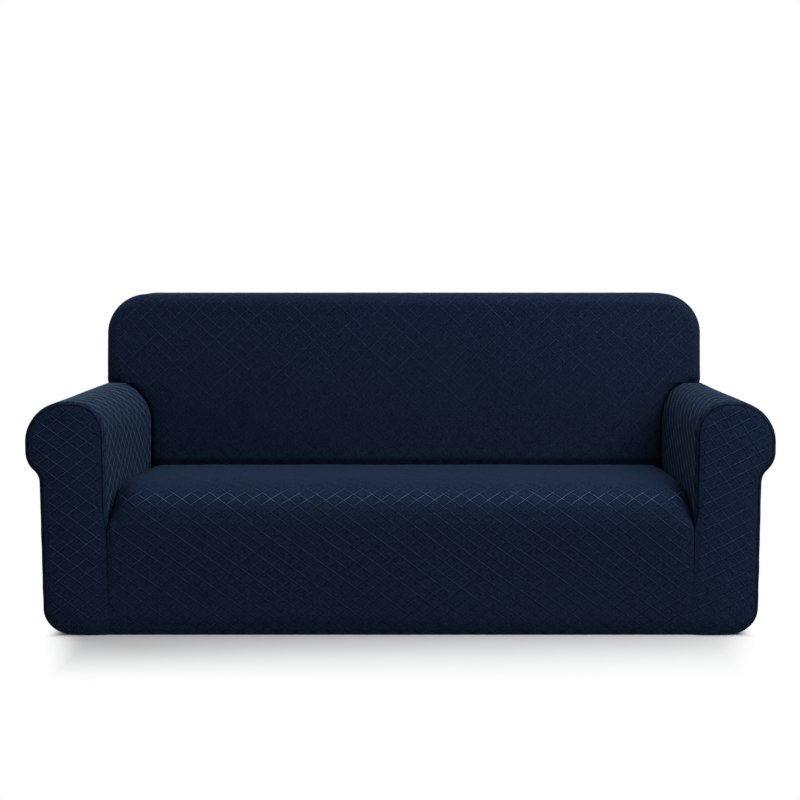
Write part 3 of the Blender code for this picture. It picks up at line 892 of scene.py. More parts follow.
@dataclass(frozen=True)
class Lattice:
    """The diamond lattice on a panel: the pitch of its two families of lines, in metres."""

    fall: Pair  # across and along, of the lines that fall to the right
    rise: Pair  # of those that rise to the right
    crossing: Pair = (0.0, 0.0)  # a place on the cloth where two lines cross
    bend: float = 0.0  # how much the falling lines steepen up the cloth
    bend_from: float = 0.25
    sway: float = 0.003  # how unevenly the cloth is stretched
    # Each wave's turns across and along, its phase and its share
    sway_across: Waves = ((2.3, 7.1, 0.0, 1.0), (11.3, -5.7, 1.1, 0.6))
    sway_along: Waves = ((6.3, 1.9, 0.7, 1.0), (12.7, 0.0, 4.1, 0.5))

    def coordinates(self, cloth: np.ndarray) -> np.ndarray:
        """Lattice coordinates, whose whole numbers lie on the lines."""
        return self.reckoned(cloth) - self.reckoned(np.array(self.crossing))

    def reckoned(self, cloth: np.ndarray) -> np.ndarray:
        """The same, from the cloth's own start."""
        s, t = cloth[..., 0], cloth[..., 1]
        s = s + self.swayed(s, t, self.sway_across)
        t = t + self.swayed(s, t, self.sway_along)
        steeper = self.bend * np.maximum(t - self.bend_from, 0.0) ** 2
        fall = s / self.fall[0] + t / self.fall[1] - steeper
        rise = s / self.rise[0] - t / self.rise[1]
        return np.stack([fall, rise], -1)

    def swayed(self, s: np.ndarray, t: np.ndarray, waves: Waves) -> np.ndarray:
        """How far the uneven stretch moves the cloth, as a sum of waves over it."""
        parts = (share * np.sin(a * s + b * t + phase) for a, b, phase, share in waves)
        return self.sway * sum(parts)

    def crossings(
        self, quads: np.ndarray, cloth: np.ndarray, family: int
    ) -> tuple[np.ndarray, np.ndarray, np.ndarray]:
        """Where the lines of one family cross the sides of some cells.

        Args:
            quads: The cells' corners.
            cloth: Where each corner lies on the cloth.
            family: 0 for the lines that fall to the right, 1 for those that rise.

        Returns:
            The ends of each crossed side, how far between them the line crosses it, and the
            pairs of crossings that a line joins.
        """
        value = self.coordinates(cloth)[..., family]
        after = np.roll(value, -1, 1)
        level = np.ceil(value.min(1))
        crossed = (value < level[:, None]) != (after < level[:, None])
        crossed &= (crossed.sum(1) == 2)[:, None]  # a line goes in by one side and out by another
        row, corner = np.nonzero(crossed)
        ends = np.stack([quads[row, corner], quads[row, (corner + 1) % 4]], 1)
        share = (level[row] - value[row, corner]) / (after[row, corner] - value[row, corner])
        key = np.column_stack([np.sort(ends, 1), level[row].astype(int)])
        _, first, place = np.unique(key, axis=0, return_index=True, return_inverse=True)
        pairs = place.reshape(-1, 2)
        return ends[first], share[first], pairs[pairs[:, 0] != pairs[:, 1]]


# Node trees


class Graph:
    """A node tree, with one method for any node."""

    def __init__(self, tree: bpy.types.NodeTree) -> None:
        """Start from an empty tree."""
        self.tree = tree
        tree.nodes.clear()

    @classmethod
    def of(cls, holder: bpy.types.Material | bpy.types.World) -> Graph:
        """The nodes of a new material or world."""
        holder.use_nodes = True
        return cls(holder.node_tree)

    def node(
        self, kind: str, settings: dict | None = None, sockets: dict | None = None
    ) -> bpy.types.Node:
        """Add a node.

        Args:
            kind: The node's type.
            settings: Its own settings, which are set first.
            sockets: What its inputs get, by their names or numbers: values, sockets, or nodes,
                whose first output is meant.

        Returns:
            The new node.
        """
        made = self.tree.nodes.new(kind)
        for name, value in (settings or {}).items():
            setattr(made, name, value)
        for name, value in (sockets or {}).items():
            if isinstance(name, int):
                socket = made.inputs[name]
            else:
                socket = next(s for s in made.inputs if s.name == name and s.enabled)
            if isinstance(value, Value):
                value = value.socket
            if isinstance(value, bpy.types.Node):
                value = value.outputs[0]
            if isinstance(value, bpy.types.NodeSocket):
                self.tree.links.new(value, socket)
            else:
                socket.default_value = value
        return made

    def value(self, node: bpy.types.Node, output: int | str = 0) -> Value:
        """One of a node's outputs as a value to reckon with."""
        return Value(self, node.outputs[output])

    def attribute(self, name: str) -> Value:
        """A number that the mesh holds."""
        return self.value(self.node("ShaderNodeAttribute", {"attribute_name": name}), "Fac")

    def place(self) -> bpy.types.NodeSocket:
        """Where a point lies in the piece's own space."""
        return self.node("ShaderNodeTexCoord").outputs["Object"]

    def axes(self, vector: object) -> list[Value]:
        """A vector's three numbers."""
        parted = self.node("ShaderNodeSeparateXYZ", None, {"Vector": vector})
        return [self.value(parted, axis) for axis in range(3)]

    def noise(self, scale: float, detail: float) -> Value:
        """Noise from -1 to 1 in the piece's own space."""
        sockets = {"Vector": self.place(), "Scale": scale, "Detail": detail}
        return self.value(self.node("ShaderNodeTexNoise", None, sockets), "Fac") * 2.0 - 1.0

    def smooth(self, value: Value, start: float, end: float) -> Value:
        """Run smoothly from 0 to 1 while the value runs from start to end."""
        sockets = {"Value": value, "From Min": start, "From Max": end}
        settings = {"interpolation_type": "SMOOTHSTEP"}
        return self.value(self.node("ShaderNodeMapRange", settings, sockets))

    def near(self, value: Value, start: float, end: float) -> Value:
        """Run smoothly from 1 to 0 while the value runs from start to end."""
        return 1.0 - self.smooth(value, start, end)

    def scaled(self, colour: Colour, share: Value) -> Value:
        """A colour times a number."""
        sockets = {0: colour, 3: share}
        return self.value(self.node("ShaderNodeVectorMath", {"operation": "SCALE"}, sockets))


@dataclass(frozen=True)
class Value:
    """A number's socket, on which Python's operators add Math nodes."""

    graph: Graph
    socket: bpy.types.NodeSocket

    def add_math(self, operation: str, *numbers: object) -> Value:
        """Add a Math node on some numbers."""
        settings, sockets = {"operation": operation}, dict(enumerate(numbers))
        return self.graph.value(self.graph.node("ShaderNodeMath", settings, sockets))

    def math(self, operation: str, *others: object) -> Value:
        """Add a Math node with this value first."""
        return self.add_math(operation, self, *others)

    def __add__(self, other: object) -> Value:
        """Sum."""
        return self.math("ADD", other)

    def __radd__(self, other: float) -> Value:
        """Sum."""
        return self.add_math("ADD", other, self)

    def __sub__(self, other: object) -> Value:
        """Difference."""
        return self.math("SUBTRACT", other)

    def __rsub__(self, other: float) -> Value:
        """Difference."""
        return self.add_math("SUBTRACT", other, self)

    def __mul__(self, other: object) -> Value:
        """Product."""
        return self.math("MULTIPLY", other)

    def __rmul__(self, other: float) -> Value:
        """Product."""
        return self.add_math("MULTIPLY", other, self)

    def off_line(self) -> Value:
        """Distance to the nearest whole number."""
        return ((self + 0.5).math("FRACT") - 0.5).math("ABSOLUTE")


# Finishes


@dataclass(frozen=True)
class Finish:
    """What the knit and its raised yarn share. Colours are in linear light."""

    roughness: float = 0.86
    gloss: float = 0.03
    sheen: float = 0.03
    sheen_tint: Colour = (0.50, 0.70, 1.0)
    fleck: float = 1.00  # unevenness of the yarn
    fleck_scale: float = 230.0
    fleck_detail: float = 3.0

    def surface(self, graph: Graph) -> dict[str, object]:
        """What else the finish gives to the shader's sockets."""
        raise NotImplementedError

    def material(self, name: str) -> bpy.types.Material:
        """Build the material.

        Args:
            name: The material's name.

        Returns:
            The new material.
        """
        made = bpy.data.materials.new(name)
        graph = Graph.of(made)
        sockets = {
            "Roughness": self.roughness,
            "Specular IOR Level": self.gloss,
            "Sheen Weight": self.sheen,
            "Sheen Tint": (*self.sheen_tint, 1.0),
            **self.surface(graph),
        }
        shader = graph.node("ShaderNodeBsdfPrincipled", None, sockets)
        graph.node("ShaderNodeOutputMaterial", None, {"Surface": shader})
        return made


@dataclass(frozen=True)
class KnitFinish(Finish):
    """Matt stretch knit, with the fine relief of its jacquard and painted shade.

    Each shade is painted shade, a share of the light that is lost.
    """

    ground: Colour = (0.0100, 0.0199, 0.0462)
    shade: float = 0.30  # painted shade on the dark side of a raised line
    shade_off: float = 0.060  # how far below its line that lies, in lattice pitches
    shade_reach: Pair = (0.015, 0.075)  # how far it reaches, in the same
    level_shade: float = 1.0  # share of that painted shade which is left on level cloth
    valley: Pair = (0.12, 0.12)  # painted shade in the wide hollow along a line that falls, or rises
    valley_reach: Pair = (0.05, 0.20)
    weave_count: float = 5.0  # fine ribs between two lattice lines
    weave_shade: float = 0.80  # how strongly they show
    weave_height: float = 0.00022  # in metres
    patch_scale: float = 22.0  # of the patches where the weave shows more
    patch_detail: float = 1.0
    patch_range: Pair = (-0.15, 0.35)  # noise from which it starts to show, and shows in full
    cloud: float = 0.08  # unevenness of the stretch
    cloud_scale: float = 5.0
    cloud_detail: float = 2.0
    # painted shade along a seam, darkest in a crevice
    seam_width: float = 0.0020
    seam_shade: float = 0.75
    tuck_shade: float = 0.0  # painted shade down in the tuck behind the seat
    tuck_reach: Pair = (0.052, 0.072)
    # painted shade along the hem, where the cloth meets the floor
    hem_width: float = 0.006
    hem_shade: float = 0.35
    fleck_height: float = 0.00010
    sheen_roughness: float = 0.30

    def line_shade(self, graph: Graph, fall: Value, rise: Value) -> Value:
        """Where the painted shade on the dark side of a raised line lies, and how dark it is."""
        below = graph.near((fall + self.shade_off).off_line(), *self.shade_reach)
        beside = graph.near((rise - self.shade_off).off_line(), *self.shade_reach)
        level = graph.attribute(LEVEL_ATTRIBUTE)
        return below.math("MAXIMUM", beside) * (1.0 - level * (1.0 - self.level_shade))

    def seam_painted_shade(self, graph: Graph) -> Value:
        """Where painted shade lies along a seam, and how dark it is."""
        seam = graph.near(graph.attribute(SEAM_ATTRIBUTE), 0.0, self.seam_width)
        return seam * graph.attribute(FOLD_ATTRIBUTE)

    def surface(self, graph: Graph) -> dict[str, object]:
        """The uneven colour with its painted shade, and the fine relief, along the lattice's UV
        map.

        Args:
            graph: The material's nodes.

        Returns:
            What the knit gives to the shader's sockets.
        """
        fall, rise, _ = graph.axes(graph.node("ShaderNodeUVMap", {"uv_map": CLOTH_UV}))
        ribs = (fall * self.weave_count).off_line() + (rise * self.weave_count).off_line()
        fleck = graph.noise(self.fleck_scale, self.fleck_detail)
        cloud = graph.noise(self.cloud_scale, self.cloud_detail)
        patches = graph.smooth(graph.noise(self.patch_scale, self.patch_detail), *self.patch_range)
        tone_and_painted_light = (1.0 + fleck * self.fleck) * (1.0 + cloud * self.cloud)
        tone_and_painted_light = tone_and_painted_light * (1.0 + (ribs - 0.5) * patches * self.weave_shade)  # 0.5 is their mean
        # Painted shade: beside the raised lines, in their hollows, along the seams and the hem, and
        # in the tuck behind the seat.
        shades = [(self.line_shade(graph, fall, rise), self.shade)]
        # painted shade in the hollows along the lines
        for lines, depth in zip((fall, rise), self.valley):
            shades.append((graph.near(lines.off_line(), *self.valley_reach), depth))
        shades.append((self.seam_painted_shade(graph), self.seam_shade))
        hem = graph.near(graph.attribute(HEM_ATTRIBUTE), 0.0, self.hem_width)
        shades.append((hem, self.hem_shade))
        if self.tuck_shade:
            tuck = graph.near(graph.attribute(TUCK_ATTRIBUTE), *self.tuck_reach)
            shades.append((tuck, self.tuck_shade))
        for where, depth in shades:
            tone_and_painted_light = tone_and_painted_light * (1.0 - where * depth)
        height = ribs * self.weave_height + fleck * self.fleck_height
        sockets = {"Strength": 1.0, "Distance": 1.0, "Height": height}
        return {
            "Base Color": graph.scaled(self.ground, tone_and_painted_light),
            "Sheen Roughness": self.sheen_roughness,
            "Normal": graph.node("ShaderNodeBump", None, sockets),
        }


@dataclass(frozen=True)
class YarnFinish(Finish):
    """Smoother yarn, of the lattice's raised lines."""

    colour: Colour = (0.0420, 0.0680, 0.1400)
    roll_highlight: float = 0.0  # painted highlight: how much brighter the yarn is at the height where the cloth rolls over the seat's front edge
    roll_highlight_height: float = 0.382  # of that edge
    roll_highlight_reach: float = 0.026
    fleck: float = 0.60
    fleck_scale: float = 140.0
    roughness: float = 0.70
    gloss: float = 0.05

    def surface(self, graph: Graph) -> dict[str, object]:
        """The colour, which runs unevenly along the yarn, with a painted highlight at the seat's
        front edge.
        """
        tone_and_painted_light = 1.0 + graph.noise(self.fleck_scale, self.fleck_detail) * self.fleck
        # painted highlight on the lines where the seat's cloth rolls over its front edge
        if self.roll_highlight:
            off = (graph.axes(graph.place())[2] - self.roll_highlight_height).math("ABSOLUTE")
            tone_and_painted_light = tone_and_painted_light * (1.0 + graph.near(off, 0.0, self.roll_highlight_reach) * self.roll_highlight)
        return {"Base Color": graph.scaled(self.colour, tone_and_painted_light)}


# What repeats along the cloth, swept by Geometry Nodes


def placed(name: str, data: bpy.types.ID) -> bpy.types.Object:
    """A new object at the origin, in the scene."""
    made = bpy.data.objects.new(name, data)
    bpy.context.scene.collection.objects.link(made)
    return made


class GeometryTree:
    """A Geometry Nodes tree that turns a mesh of edges into a finished mesh."""

    def __init__(self, name: str, sizes: dict[str, float]) -> None:
        """Make the tree's interface.

        Args:
            name: The tree's name.
            sizes: Its named sizes.
        """
        tree = bpy.data.node_groups.new(name, "GeometryNodeTree")
        face = tree.interface
        face.new_socket("Geometry", in_out="INPUT", socket_type="NodeSocketGeometry")
        for size in sizes:
            face.new_socket(size, in_out="INPUT", socket_type="NodeSocketFloat")
        face.new_socket("Material", in_out="INPUT", socket_type="NodeSocketMaterial")
        face.new_socket("Geometry", in_out="OUTPUT", socket_type="NodeSocketGeometry")
        self.tree, self.sizes = tree, sizes
        self.graph = Graph(tree)
        self.start = self.graph.node("NodeGroupInput").outputs

    def end(self, mesh: bpy.types.Node) -> None:
        """Close the tree with Realize Instances and Set Material."""
        real = self.graph.node("GeometryNodeRealizeInstances", None, {0: mesh})
        sockets = {"Geometry": real, "Material": self.start["Material"]}
        dressed = self.graph.node("GeometryNodeSetMaterial", None, sockets)
        self.graph.node("NodeGroupOutput", {"is_active_output": True}, {0: dressed})

    def run(self, edges: bpy.types.Mesh, material: bpy.types.Material) -> bpy.types.Mesh:
        """The plain mesh that the tree makes from a mesh of edges."""
        carrier = placed(edges.name, edges)
        modifier = carrier.modifiers.new(self.tree.name, "NODES")
        modifier.node_group = self.tree
        given = {**self.sizes, "Material": material}
        for item in self.tree.interface.items_tree:
            if item.in_out == "INPUT" and item.name in given:
                modifier[item.identifier] = given[item.name]
        found = carrier.evaluated_get(bpy.context.evaluated_depsgraph_get())
        mesh = bpy.data.meshes.new_from_object(found)
        bpy.data.objects.remove(carrier)
        bpy.data.meshes.remove(edges)
        return mesh


@dataclass(frozen=True)
class LatticeRibs:
    """The lattice's raised lines: a low rib of three sides, shaded round, along each."""

    height: float = 0.00045
    width: float = 0.0019
    step: float = 0.010
    sink: float = 0.3  # share of its height that a rib sinks by where it dies away
    seam_fade: Pair = (0.001, 0.009)
    hem_fade: Pair = (0.004, 0.014)
    tuck_fade: Pair = (0.050, 0.068)
    level_share: float = 1.0  # share of its size that a rib keeps on level cloth
    low_share: float = 0.6  # and that it keeps at the floor
    low_height: float = 0.25  # height where it has its whole size
    deep_fold: float = 0.5  # how deep a seam is, from 0 to 1, where a rib dies away altogether
    stand: float = 0.9  # how far it stands out along its run, as a share of its size
    stand_range: Pair = (0.3, 1.2)
    broken: float = 0.40  # unevenness of that
    broken_finer: float = 0.2  # how much closer its waves are on the second family
    broken_waves: Waves = (
        (83.0, 61.0, 97.0, 0.9),
        (-131.0, 47.0, 149.0, 2.1),
        (211.0, -173.0, 67.0, 3.7),
    )

    def tree(self) -> GeometryTree:
        """Sweep a three-sided section along the lines, one side down in the cloth."""
        half = self.width / math.sqrt(3.0)
        sizes = {"Rib Height": self.height, "Rib Half Width": half, "Step": self.step}
        made = GeometryTree("lattice_ribs", sizes)
        node, start = made.graph.node, made.start
        up, share = (
            node("GeometryNodeInputNamedAttribute", {"data_type": kind}, {"Name": name})
            for kind, name in (("FLOAT_VECTOR", UP_ATTRIBUTE), ("FLOAT", SHARE_ATTRIBUTE))
        )
        curve = node("GeometryNodeMeshToCurve", None, {"Mesh": start["Geometry"]})
        sockets = {"Curve": curve, "Length": start["Step"]}
        even = node("GeometryNodeResampleCurve", {"mode": "LENGTH"}, sockets)
        turned = node("GeometryNodeSetCurveNormal", {"mode": "FREE"}, {"Curve": even, "Normal": up})
        section = node("GeometryNodeCurvePrimitiveCircle", None, {"Resolution": 3, "Radius": 1.0})
        sockets = {"X": start["Rib Height"], "Y": start["Rib Half Width"], "Z": 1.0}
        scale = node("ShaderNodeCombineXYZ", None, sockets)
        shaped = node("GeometryNodeTransform", None, {"Geometry": section, "Scale": scale})
        sockets = {"Curve": turned, "Profile Curve": shaped, "Scale": share, "Fill Caps": True}
        made.end(node("GeometryNodeCurveToMesh", None, sockets))
        return made

    def shares(self, skin: Skin, family: int) -> np.ndarray:
        """How much of its size a rib has at each of the skin's points."""
        near = 1.0 - over(skin.seam, self.seam_fade)
        whole = (1.0 - near * ease(skin.fold / self.deep_fold)) * over(skin.hem, self.hem_fade)
        whole *= over(skin.tuck, self.tuck_fade)
        whole *= 1.0 - skin.level * (1.0 - self.level_share)
        whole *= between(self.low_share, 1.0, ease(skin.points[:, 2] / self.low_height))
        finer = 1.0 + self.broken_finer * family
        uneven = self.broken * Relief.waves(skin.points * finer, self.broken_waves)
        return whole * np.clip(self.stand + uneven, *self.stand_range)

    def traced(self, skin: Skin, panel: int, lattice: Lattice, family: int) -> bpy.types.Mesh:
        """The lines of one family over a panel, as a mesh of edges.

        Args:
            skin: The cover's skin.
            panel: The panel's number.
            lattice: The panel's lattice.
            family: 0 for the lines that fall to the right, 1 for those that rise.

        Returns:
            Edges on the skin, whose points hold the skin's normal and the rib's share.
        """
        mine = skin.owner == panel
        ends, share, edges = lattice.crossings(skin.quads[mine], skin.cloth[mine], family)
        (start, end), normals = ends.T, skin.normals()
        points = between(skin.points[start], skin.points[end], share[:, None])
        up = unit(between(normals[start], normals[end], share[:, None]))
        size = self.shares(skin, family)
        size = between(size[start], size[end], share)
        points = points - up * (self.height * self.sink * (1.0 - size))[:, None]
        mesh = bpy.data.meshes.new("lines")
        mesh.from_pydata(points.tolist(), edges.tolist(), [])
        held = mesh.attributes.new(UP_ATTRIBUTE, "FLOAT_VECTOR", "POINT")
        held.data.foreach_set("vector", up.ravel())
        held = mesh.attributes.new(SHARE_ATTRIBUTE, "FLOAT", "POINT")
        held.data.foreach_set("value", size)
        return mesh


@dataclass(frozen=True)
class Dress:
    """How one panel is cut and finished."""

    lattice: Lattice
    knit: KnitFinish
    lines: tuple[YarnFinish, YarnFinish]  # the yarn that falls to the right, and that rises
    ribs: LatticeRibs
    flat: Pair  # the cut's width and length, in metres
    area: float  # the cut's flat area, in square metres


class Cover:
    """The slipcover: its skin, and each panel's sheet with its raised lines."""

    SHARP = 60.0  # turn between two faces from which their edge is sharp, in degrees

    def __init__(self, form: CoverForm, relief: Relief, dresses: dict[Panel, Dress]) -> None:
        """Build the skin.

        Args:
            form: The cover's form and sizes.
            relief: How the cloth stands off that form.
            dresses: Each panel's cut and finish.
        """
        patches: list[Patch] = []
        for sewn in (SeatFront, InsideBack, OutsideBack, ArmCover, ArmFacing):
            patches += sewn(form).patches()
        self.skin = Skin(patches, form)
        self.skin.shape(relief)
        self.dresses = dresses

    def sheet(self, panel: Panel) -> bpy.types.Object:
        """A panel's closed sheet, thickened towards the sofa."""
        skin, number = self.skin, self.skin.panels.index(panel)
        mine = skin.owner == number
        used, place = np.unique(skin.quads[mine], return_inverse=True)
        outer = skin.points[used] + skin.seam_shift(number)[used]
        inner = outer - skin.normals()[used] * skin.THICKNESS
        uv = self.dresses[panel].lattice.coordinates(skin.cloth[mine])
        faces, uv = closed(place.reshape(-1, 4), uv)
        mesh = bpy.data.meshes.new(panel.value)
        mesh.from_pydata(np.concatenate([outer, inner]).tolist(), [], faces.tolist())
        mesh.uv_layers.new(name=CLOTH_UV).data.foreach_set("uv", uv.ravel())
        held = {
            SEAM_ATTRIBUTE: skin.seam,
            FOLD_ATTRIBUTE: skin.fold,
            HEM_ATTRIBUTE: skin.hem,
            LEVEL_ATTRIBUTE: skin.level,
            TUCK_ATTRIBUTE: skin.tuck,
        }
        for name, values in held.items():
            data = mesh.attributes.new(name, "FLOAT", "POINT").data
            data.foreach_set("value", np.tile(values[used], 2))
        mesh.shade_smooth()
        mesh.set_sharp_from_angle(angle=math.radians(self.SHARP))
        return placed(f"{panel.value}_cloth", mesh)

    def lines(self, panel: Panel) -> bpy.types.Object:
        """A panel's raised lines, both families in one piece."""
        dress, number = self.dresses[panel], self.skin.panels.index(panel)
        tree = dress.ribs.tree()
        joined = bmesh.new()
        materials = []
        for family, finish in enumerate(dress.lines):
            edges = dress.ribs.traced(self.skin, number, dress.lattice, family)
            materials.append(finish.material(f"{panel.value}_line_{family}"))
            mesh = tree.run(edges, materials[-1])
            before = len(joined.faces)
            joined.from_mesh(mesh)
            joined.faces.ensure_lookup_table()
            for face in joined.faces[before:]:
                face.material_index = family
            bpy.data.meshes.remove(mesh)
        mesh = bpy.data.meshes.new(f"{panel.value}_lines")
        joined.to_mesh(mesh)
        joined.free()
        for material in materials:
            mesh.materials.append(material)
        mesh.shade_smooth()
        return placed(f"{panel.value}_lines", mesh)

    def build(self) -> None:
        """Make and dress every panel, hide its part in the model and set its pieces under the body.
        """
        for panel, dress in self.dresses.items():
            sheet, lines = self.sheet(panel), self.lines(panel)
            sheet.data.materials.append(dress.knit.material(f"{panel.value}_knit"))
            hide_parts(panel.value)
            for piece in (sheet, lines):
                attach(piece, BODY)
            for piece in (sheet, lines):
                LOG.info("%s: %d faces", piece.name, len(piece.data.polygons))


# The studio


@dataclass(frozen=True)
class Camera:
    """The photograph's camera, which stands before the sofa and looks a little down."""

    place: Place = (0.0682, -4.1124, 1.0219)
    tilt: float = 0.0961  # down, in radians
    focal: float = 61.34  # in millimetres
    sensor: float = 36.0
    shift: Pair = (-0.03175, -0.00566)

    def build(self) -> None:
        """Create the camera and make it the scene's."""
        data = bpy.data.cameras.new("camera")
        data.lens, data.sensor_width = self.focal, self.sensor
        data.shift_x, data.shift_y = self.shift
        made = placed("camera", data)
        made.location = self.place
        made.rotation_euler = (math.pi / 2 - self.tilt, 0.0, 0.0)
        bpy.context.scene.camera = made


@dataclass(frozen=True)
class SoftBox:
    """A large plain area light."""

    name: str
    place: Place
    aim: Place
    size: Pair
    power: float
    colour: Colour = (1.0, 1.0, 1.0)

    def build(self) -> None:
        """Create the light, turned towards its aim."""
        data = bpy.data.lights.new(self.name, "AREA")
        data.shape = "RECTANGLE"
        data.size, data.size_y = self.size
        data.energy, data.color = self.power, self.colour
        made = placed(self.name, data)
        made.location = self.place
        way = Vector(self.aim) - Vector(self.place)
        made.rotation_euler = way.to_track_quat("-Z", "Y").to_euler()


@dataclass(frozen=True)
class Studio:
    """A pale floor that glows white away from the sofa, a white surround and soft lights."""

    floor_half: float = 30.0
    floor_white: float = 0.74
    under_side: Pair = (0.93, 0.99)  # where the floor's shade ends under the sofa
    shade_start: Pair = (0.41, 0.45)  # where the floor before it starts
    shade_side: Pair = (0.86, 0.99)  # where the shade ends there, across
    shade_taper: float = 0.30  # narrowing of the shade, for each metre to the front
    shade_front: Pair = (0.50, 0.88)  # and to the front and the rear
    surround: float = 0.30  # light of the room
    boxes: tuple[SoftBox, ...] = (
        SoftBox("key", (2.4, -1.2, 3.3), (0.0, -0.1, 0.4), (3.0, 3.0), 145.0),
        SoftBox("fill", (-1.0, -5.0, 2.2), (0.0, 0.0, 0.4), (3.0, 2.0), 12.0),
        SoftBox("top", (-1.9, 0.9, 3.2), (-0.7, -0.1, 0.4), (2.0, 1.6), 46.0, (0.86, 1.0, 1.04)),
    )

    def floor(self) -> None:
        """The floor, which isn't part of the object: it glows white by emission away from the sofa
        and takes real shade only near it.
        """
        shape = bmesh.new()
        bmesh.ops.create_grid(shape, x_segments=1, y_segments=1, size=self.floor_half)
        mesh = bpy.data.meshes.new("floor")
        shape.to_mesh(mesh)
        shape.free()
        material = bpy.data.materials.new("floor")
        graph = Graph.of(material)
        across, along, _ = (value.math("ABSOLUTE") for value in graph.axes(graph.place()))
        ends = across + (along - self.shade_start[1]) * self.shade_taper
        side = graph.smooth(ends, *self.shade_side) * graph.smooth(along, *self.shade_start)
        side = side.math("MAXIMUM", graph.smooth(across, *self.under_side))
        front = graph.smooth(along, *self.shade_front)
        white = (self.floor_white,) * 3 + (1.0,)
        shaded = graph.node("ShaderNodeBsdfDiffuse", None, {"Color": white})
        bright = graph.node("ShaderNodeEmission", None, {"Color": WHITE, "Strength": 1.0})
        sockets = {0: side.math("MAXIMUM", front), 1: shaded, 2: bright}
        surface = graph.node("ShaderNodeMixShader", None, sockets)
        graph.node("ShaderNodeOutputMaterial", None, {"Surface": surface})
        mesh.materials.append(material)
        made = placed("floor", mesh)
        made.visible_diffuse = made.visible_glossy = False

    def world(self) -> None:
        """White behind the sofa, and dimmer where it lights the cloth."""
        world = bpy.data.worlds.new("surround")
        graph = Graph.of(world)
        seen = graph.value(graph.node("ShaderNodeLightPath"), "Is Camera Ray")
        strength = seen * (1.0 - self.surround) + self.surround
        shader = graph.node("ShaderNodeBackground", None, {"Color": WHITE, "Strength": strength})
        graph.node("ShaderNodeOutputWorld", None, {"Surface": shader})
        bpy.context.scene.world = world

    def build(self) -> None:
        """Set up the whole studio."""
        bpy.context.scene.view_settings.view_transform = "Standard"
        self.floor()
        self.world()
        for box in self.boxes:
            box.build()


SEAT_LATTICE = Lattice((0.0495, 0.0370), (0.0495, 0.0380), (0.092, 0.270))
BACK_LATTICE = Lattice((0.0515, 0.048), (0.0515, 0.048), (0.102, 0.716))
ARM_LATTICE = Lattice((0.052, 0.046), (0.052, 0.046))
LEFT_FACING_LATTICE = Lattice((0.054, 0.0405), (0.054, 0.0405), (0.007, 0.500))
RIGHT_FACING_LATTICE = Lattice((0.036, 0.041), (0.070, 0.0355), (-0.020, 0.330), bend=10.4)

# The seat's lines have a painted highlight along its front edge.
SEAT_LINES = (
    YarnFinish(colour=(0.0397, 0.0640, 0.1224), roll_highlight=1.38),
    YarnFinish(colour=(0.0229, 0.0380, 0.0773), roll_highlight=3.2),
)
INSIDE_LINES = (YarnFinish(colour=(0.0315, 0.0520, 0.1105)),) * 2
OUTSIDE_LINES = (YarnFinish(colour=(0.0205, 0.0350, 0.0760)),) * 2
# The left arm's brighter lines are painted light; the right arm's dimmer lines are painted shade.
LEFT_ARM_LINES_LIT = (
    YarnFinish(colour=(0.1120, 0.1680, 0.2350)),
    YarnFinish(colour=(0.0560, 0.0880, 0.1350)),
)
RIGHT_ARM_LINES_SHADED = (
    YarnFinish(colour=(0.0640, 0.0970, 0.1500)),
    YarnFinish(colour=(0.0370, 0.0570, 0.0960)),
)
LEFT_FACING_LINES = (YarnFinish(),) * 2
RIGHT_FACING_LINES = (YarnFinish(colour=(0.0330, 0.0540, 0.1130)), YarnFinish())

SEAT_RIBS = LatticeRibs(level_share=0.45)
INSIDE_RIBS = LatticeRibs(height=0.00040, low_share=0.12, low_height=1.15, broken=0.5)
OUTSIDE_RIBS = LatticeRibs(height=0.00035, width=0.0018, broken=0.7)
ARM_RIBS = LatticeRibs(height=0.00055, width=0.0020, seam_fade=(0.004, 0.016))
FACING_RIBS = LatticeRibs(height=0.00040, width=0.0018)

SEAT_KNIT = KnitFinish(shade=0.38, level_shade=0.3, valley=(0.18, 0.03), weave_shade=0.55)
# The back's darker ground is painted shade.
BACK_KNIT_SHADED = KnitFinish(
    ground=(0.0088, 0.0171, 0.0396), shade=0.15, valley=(0.085, 0.085), tuck_shade=0.65
)
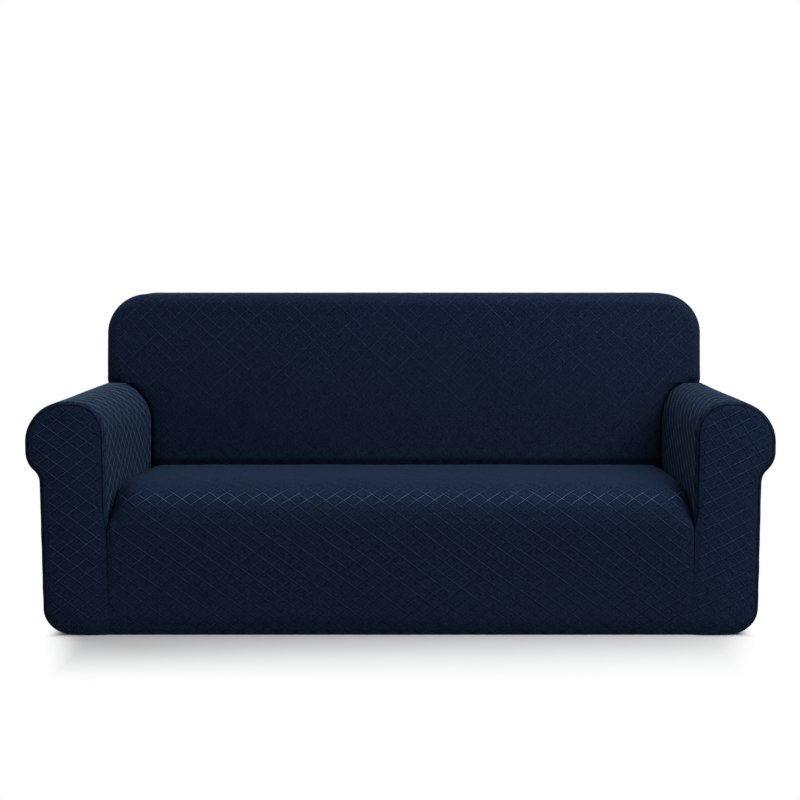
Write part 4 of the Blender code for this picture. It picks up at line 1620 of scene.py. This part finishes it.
# The left arm's lighter ground is painted light and the right arm's darker ground is painted shade.
LEFT_ARM_KNIT_LIT = KnitFinish(ground=(0.0105, 0.0210, 0.0478), seam_width=0.0032, seam_shade=0.85)
RIGHT_ARM_KNIT_SHADED = replace(LEFT_ARM_KNIT_LIT, ground=(0.0088, 0.0178, 0.0400))
LEFT_FACING_KNIT = KnitFinish(shade=0.28, weave_shade=0.55, seam_width=0.0032, seam_shade=0.85)
# The right facing's lighter ground is painted light.
RIGHT_FACING_KNIT_LIT = replace(LEFT_FACING_KNIT, ground=(0.0109, 0.0220, 0.0510), shade=0.32)

SEAT_CUT = ((1.62, 1.02), 1.58)
INSIDE_CUT = ((2.20, 0.85), 1.46)
OUTSIDE_CUT = ((2.03, 0.93), 1.76)
ARM_CUT = ((0.86, 1.15), 0.87)
FACING_CUT = ((0.22, 0.65), 0.108)

DRESSES = {
    Panel.SEAT_FRONT: Dress(SEAT_LATTICE, SEAT_KNIT, SEAT_LINES, SEAT_RIBS, *SEAT_CUT),
    Panel.BACK_INSIDE: Dress(BACK_LATTICE, BACK_KNIT_SHADED, INSIDE_LINES, INSIDE_RIBS, *INSIDE_CUT),
    Panel.BACK_OUTSIDE: Dress(BACK_LATTICE, BACK_KNIT_SHADED, OUTSIDE_LINES, OUTSIDE_RIBS, *OUTSIDE_CUT),
    Panel.ARM_LEFT: Dress(ARM_LATTICE, LEFT_ARM_KNIT_LIT, LEFT_ARM_LINES_LIT, ARM_RIBS, *ARM_CUT),
    Panel.ARM_RIGHT: Dress(ARM_LATTICE, RIGHT_ARM_KNIT_SHADED, RIGHT_ARM_LINES_SHADED, ARM_RIBS, *ARM_CUT),
    Panel.ARM_FRONT_LEFT: Dress(
        LEFT_FACING_LATTICE, LEFT_FACING_KNIT, LEFT_FACING_LINES, FACING_RIBS, *FACING_CUT
    ),
    Panel.ARM_FRONT_RIGHT: Dress(
        RIGHT_FACING_LATTICE, RIGHT_FACING_KNIT_LIT, RIGHT_FACING_LINES, FACING_RIBS, *FACING_CUT
    ),
}


def main() -> None:
    """Build the cover in its studio."""
    logging.basicConfig(level=logging.INFO, format="%(name)s: %(message)s")
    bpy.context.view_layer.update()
    Camera().build()
    Cover(CoverForm(), Relief(), DRESSES).build()
    Studio().build()


if __name__ == "__main__":
    main()
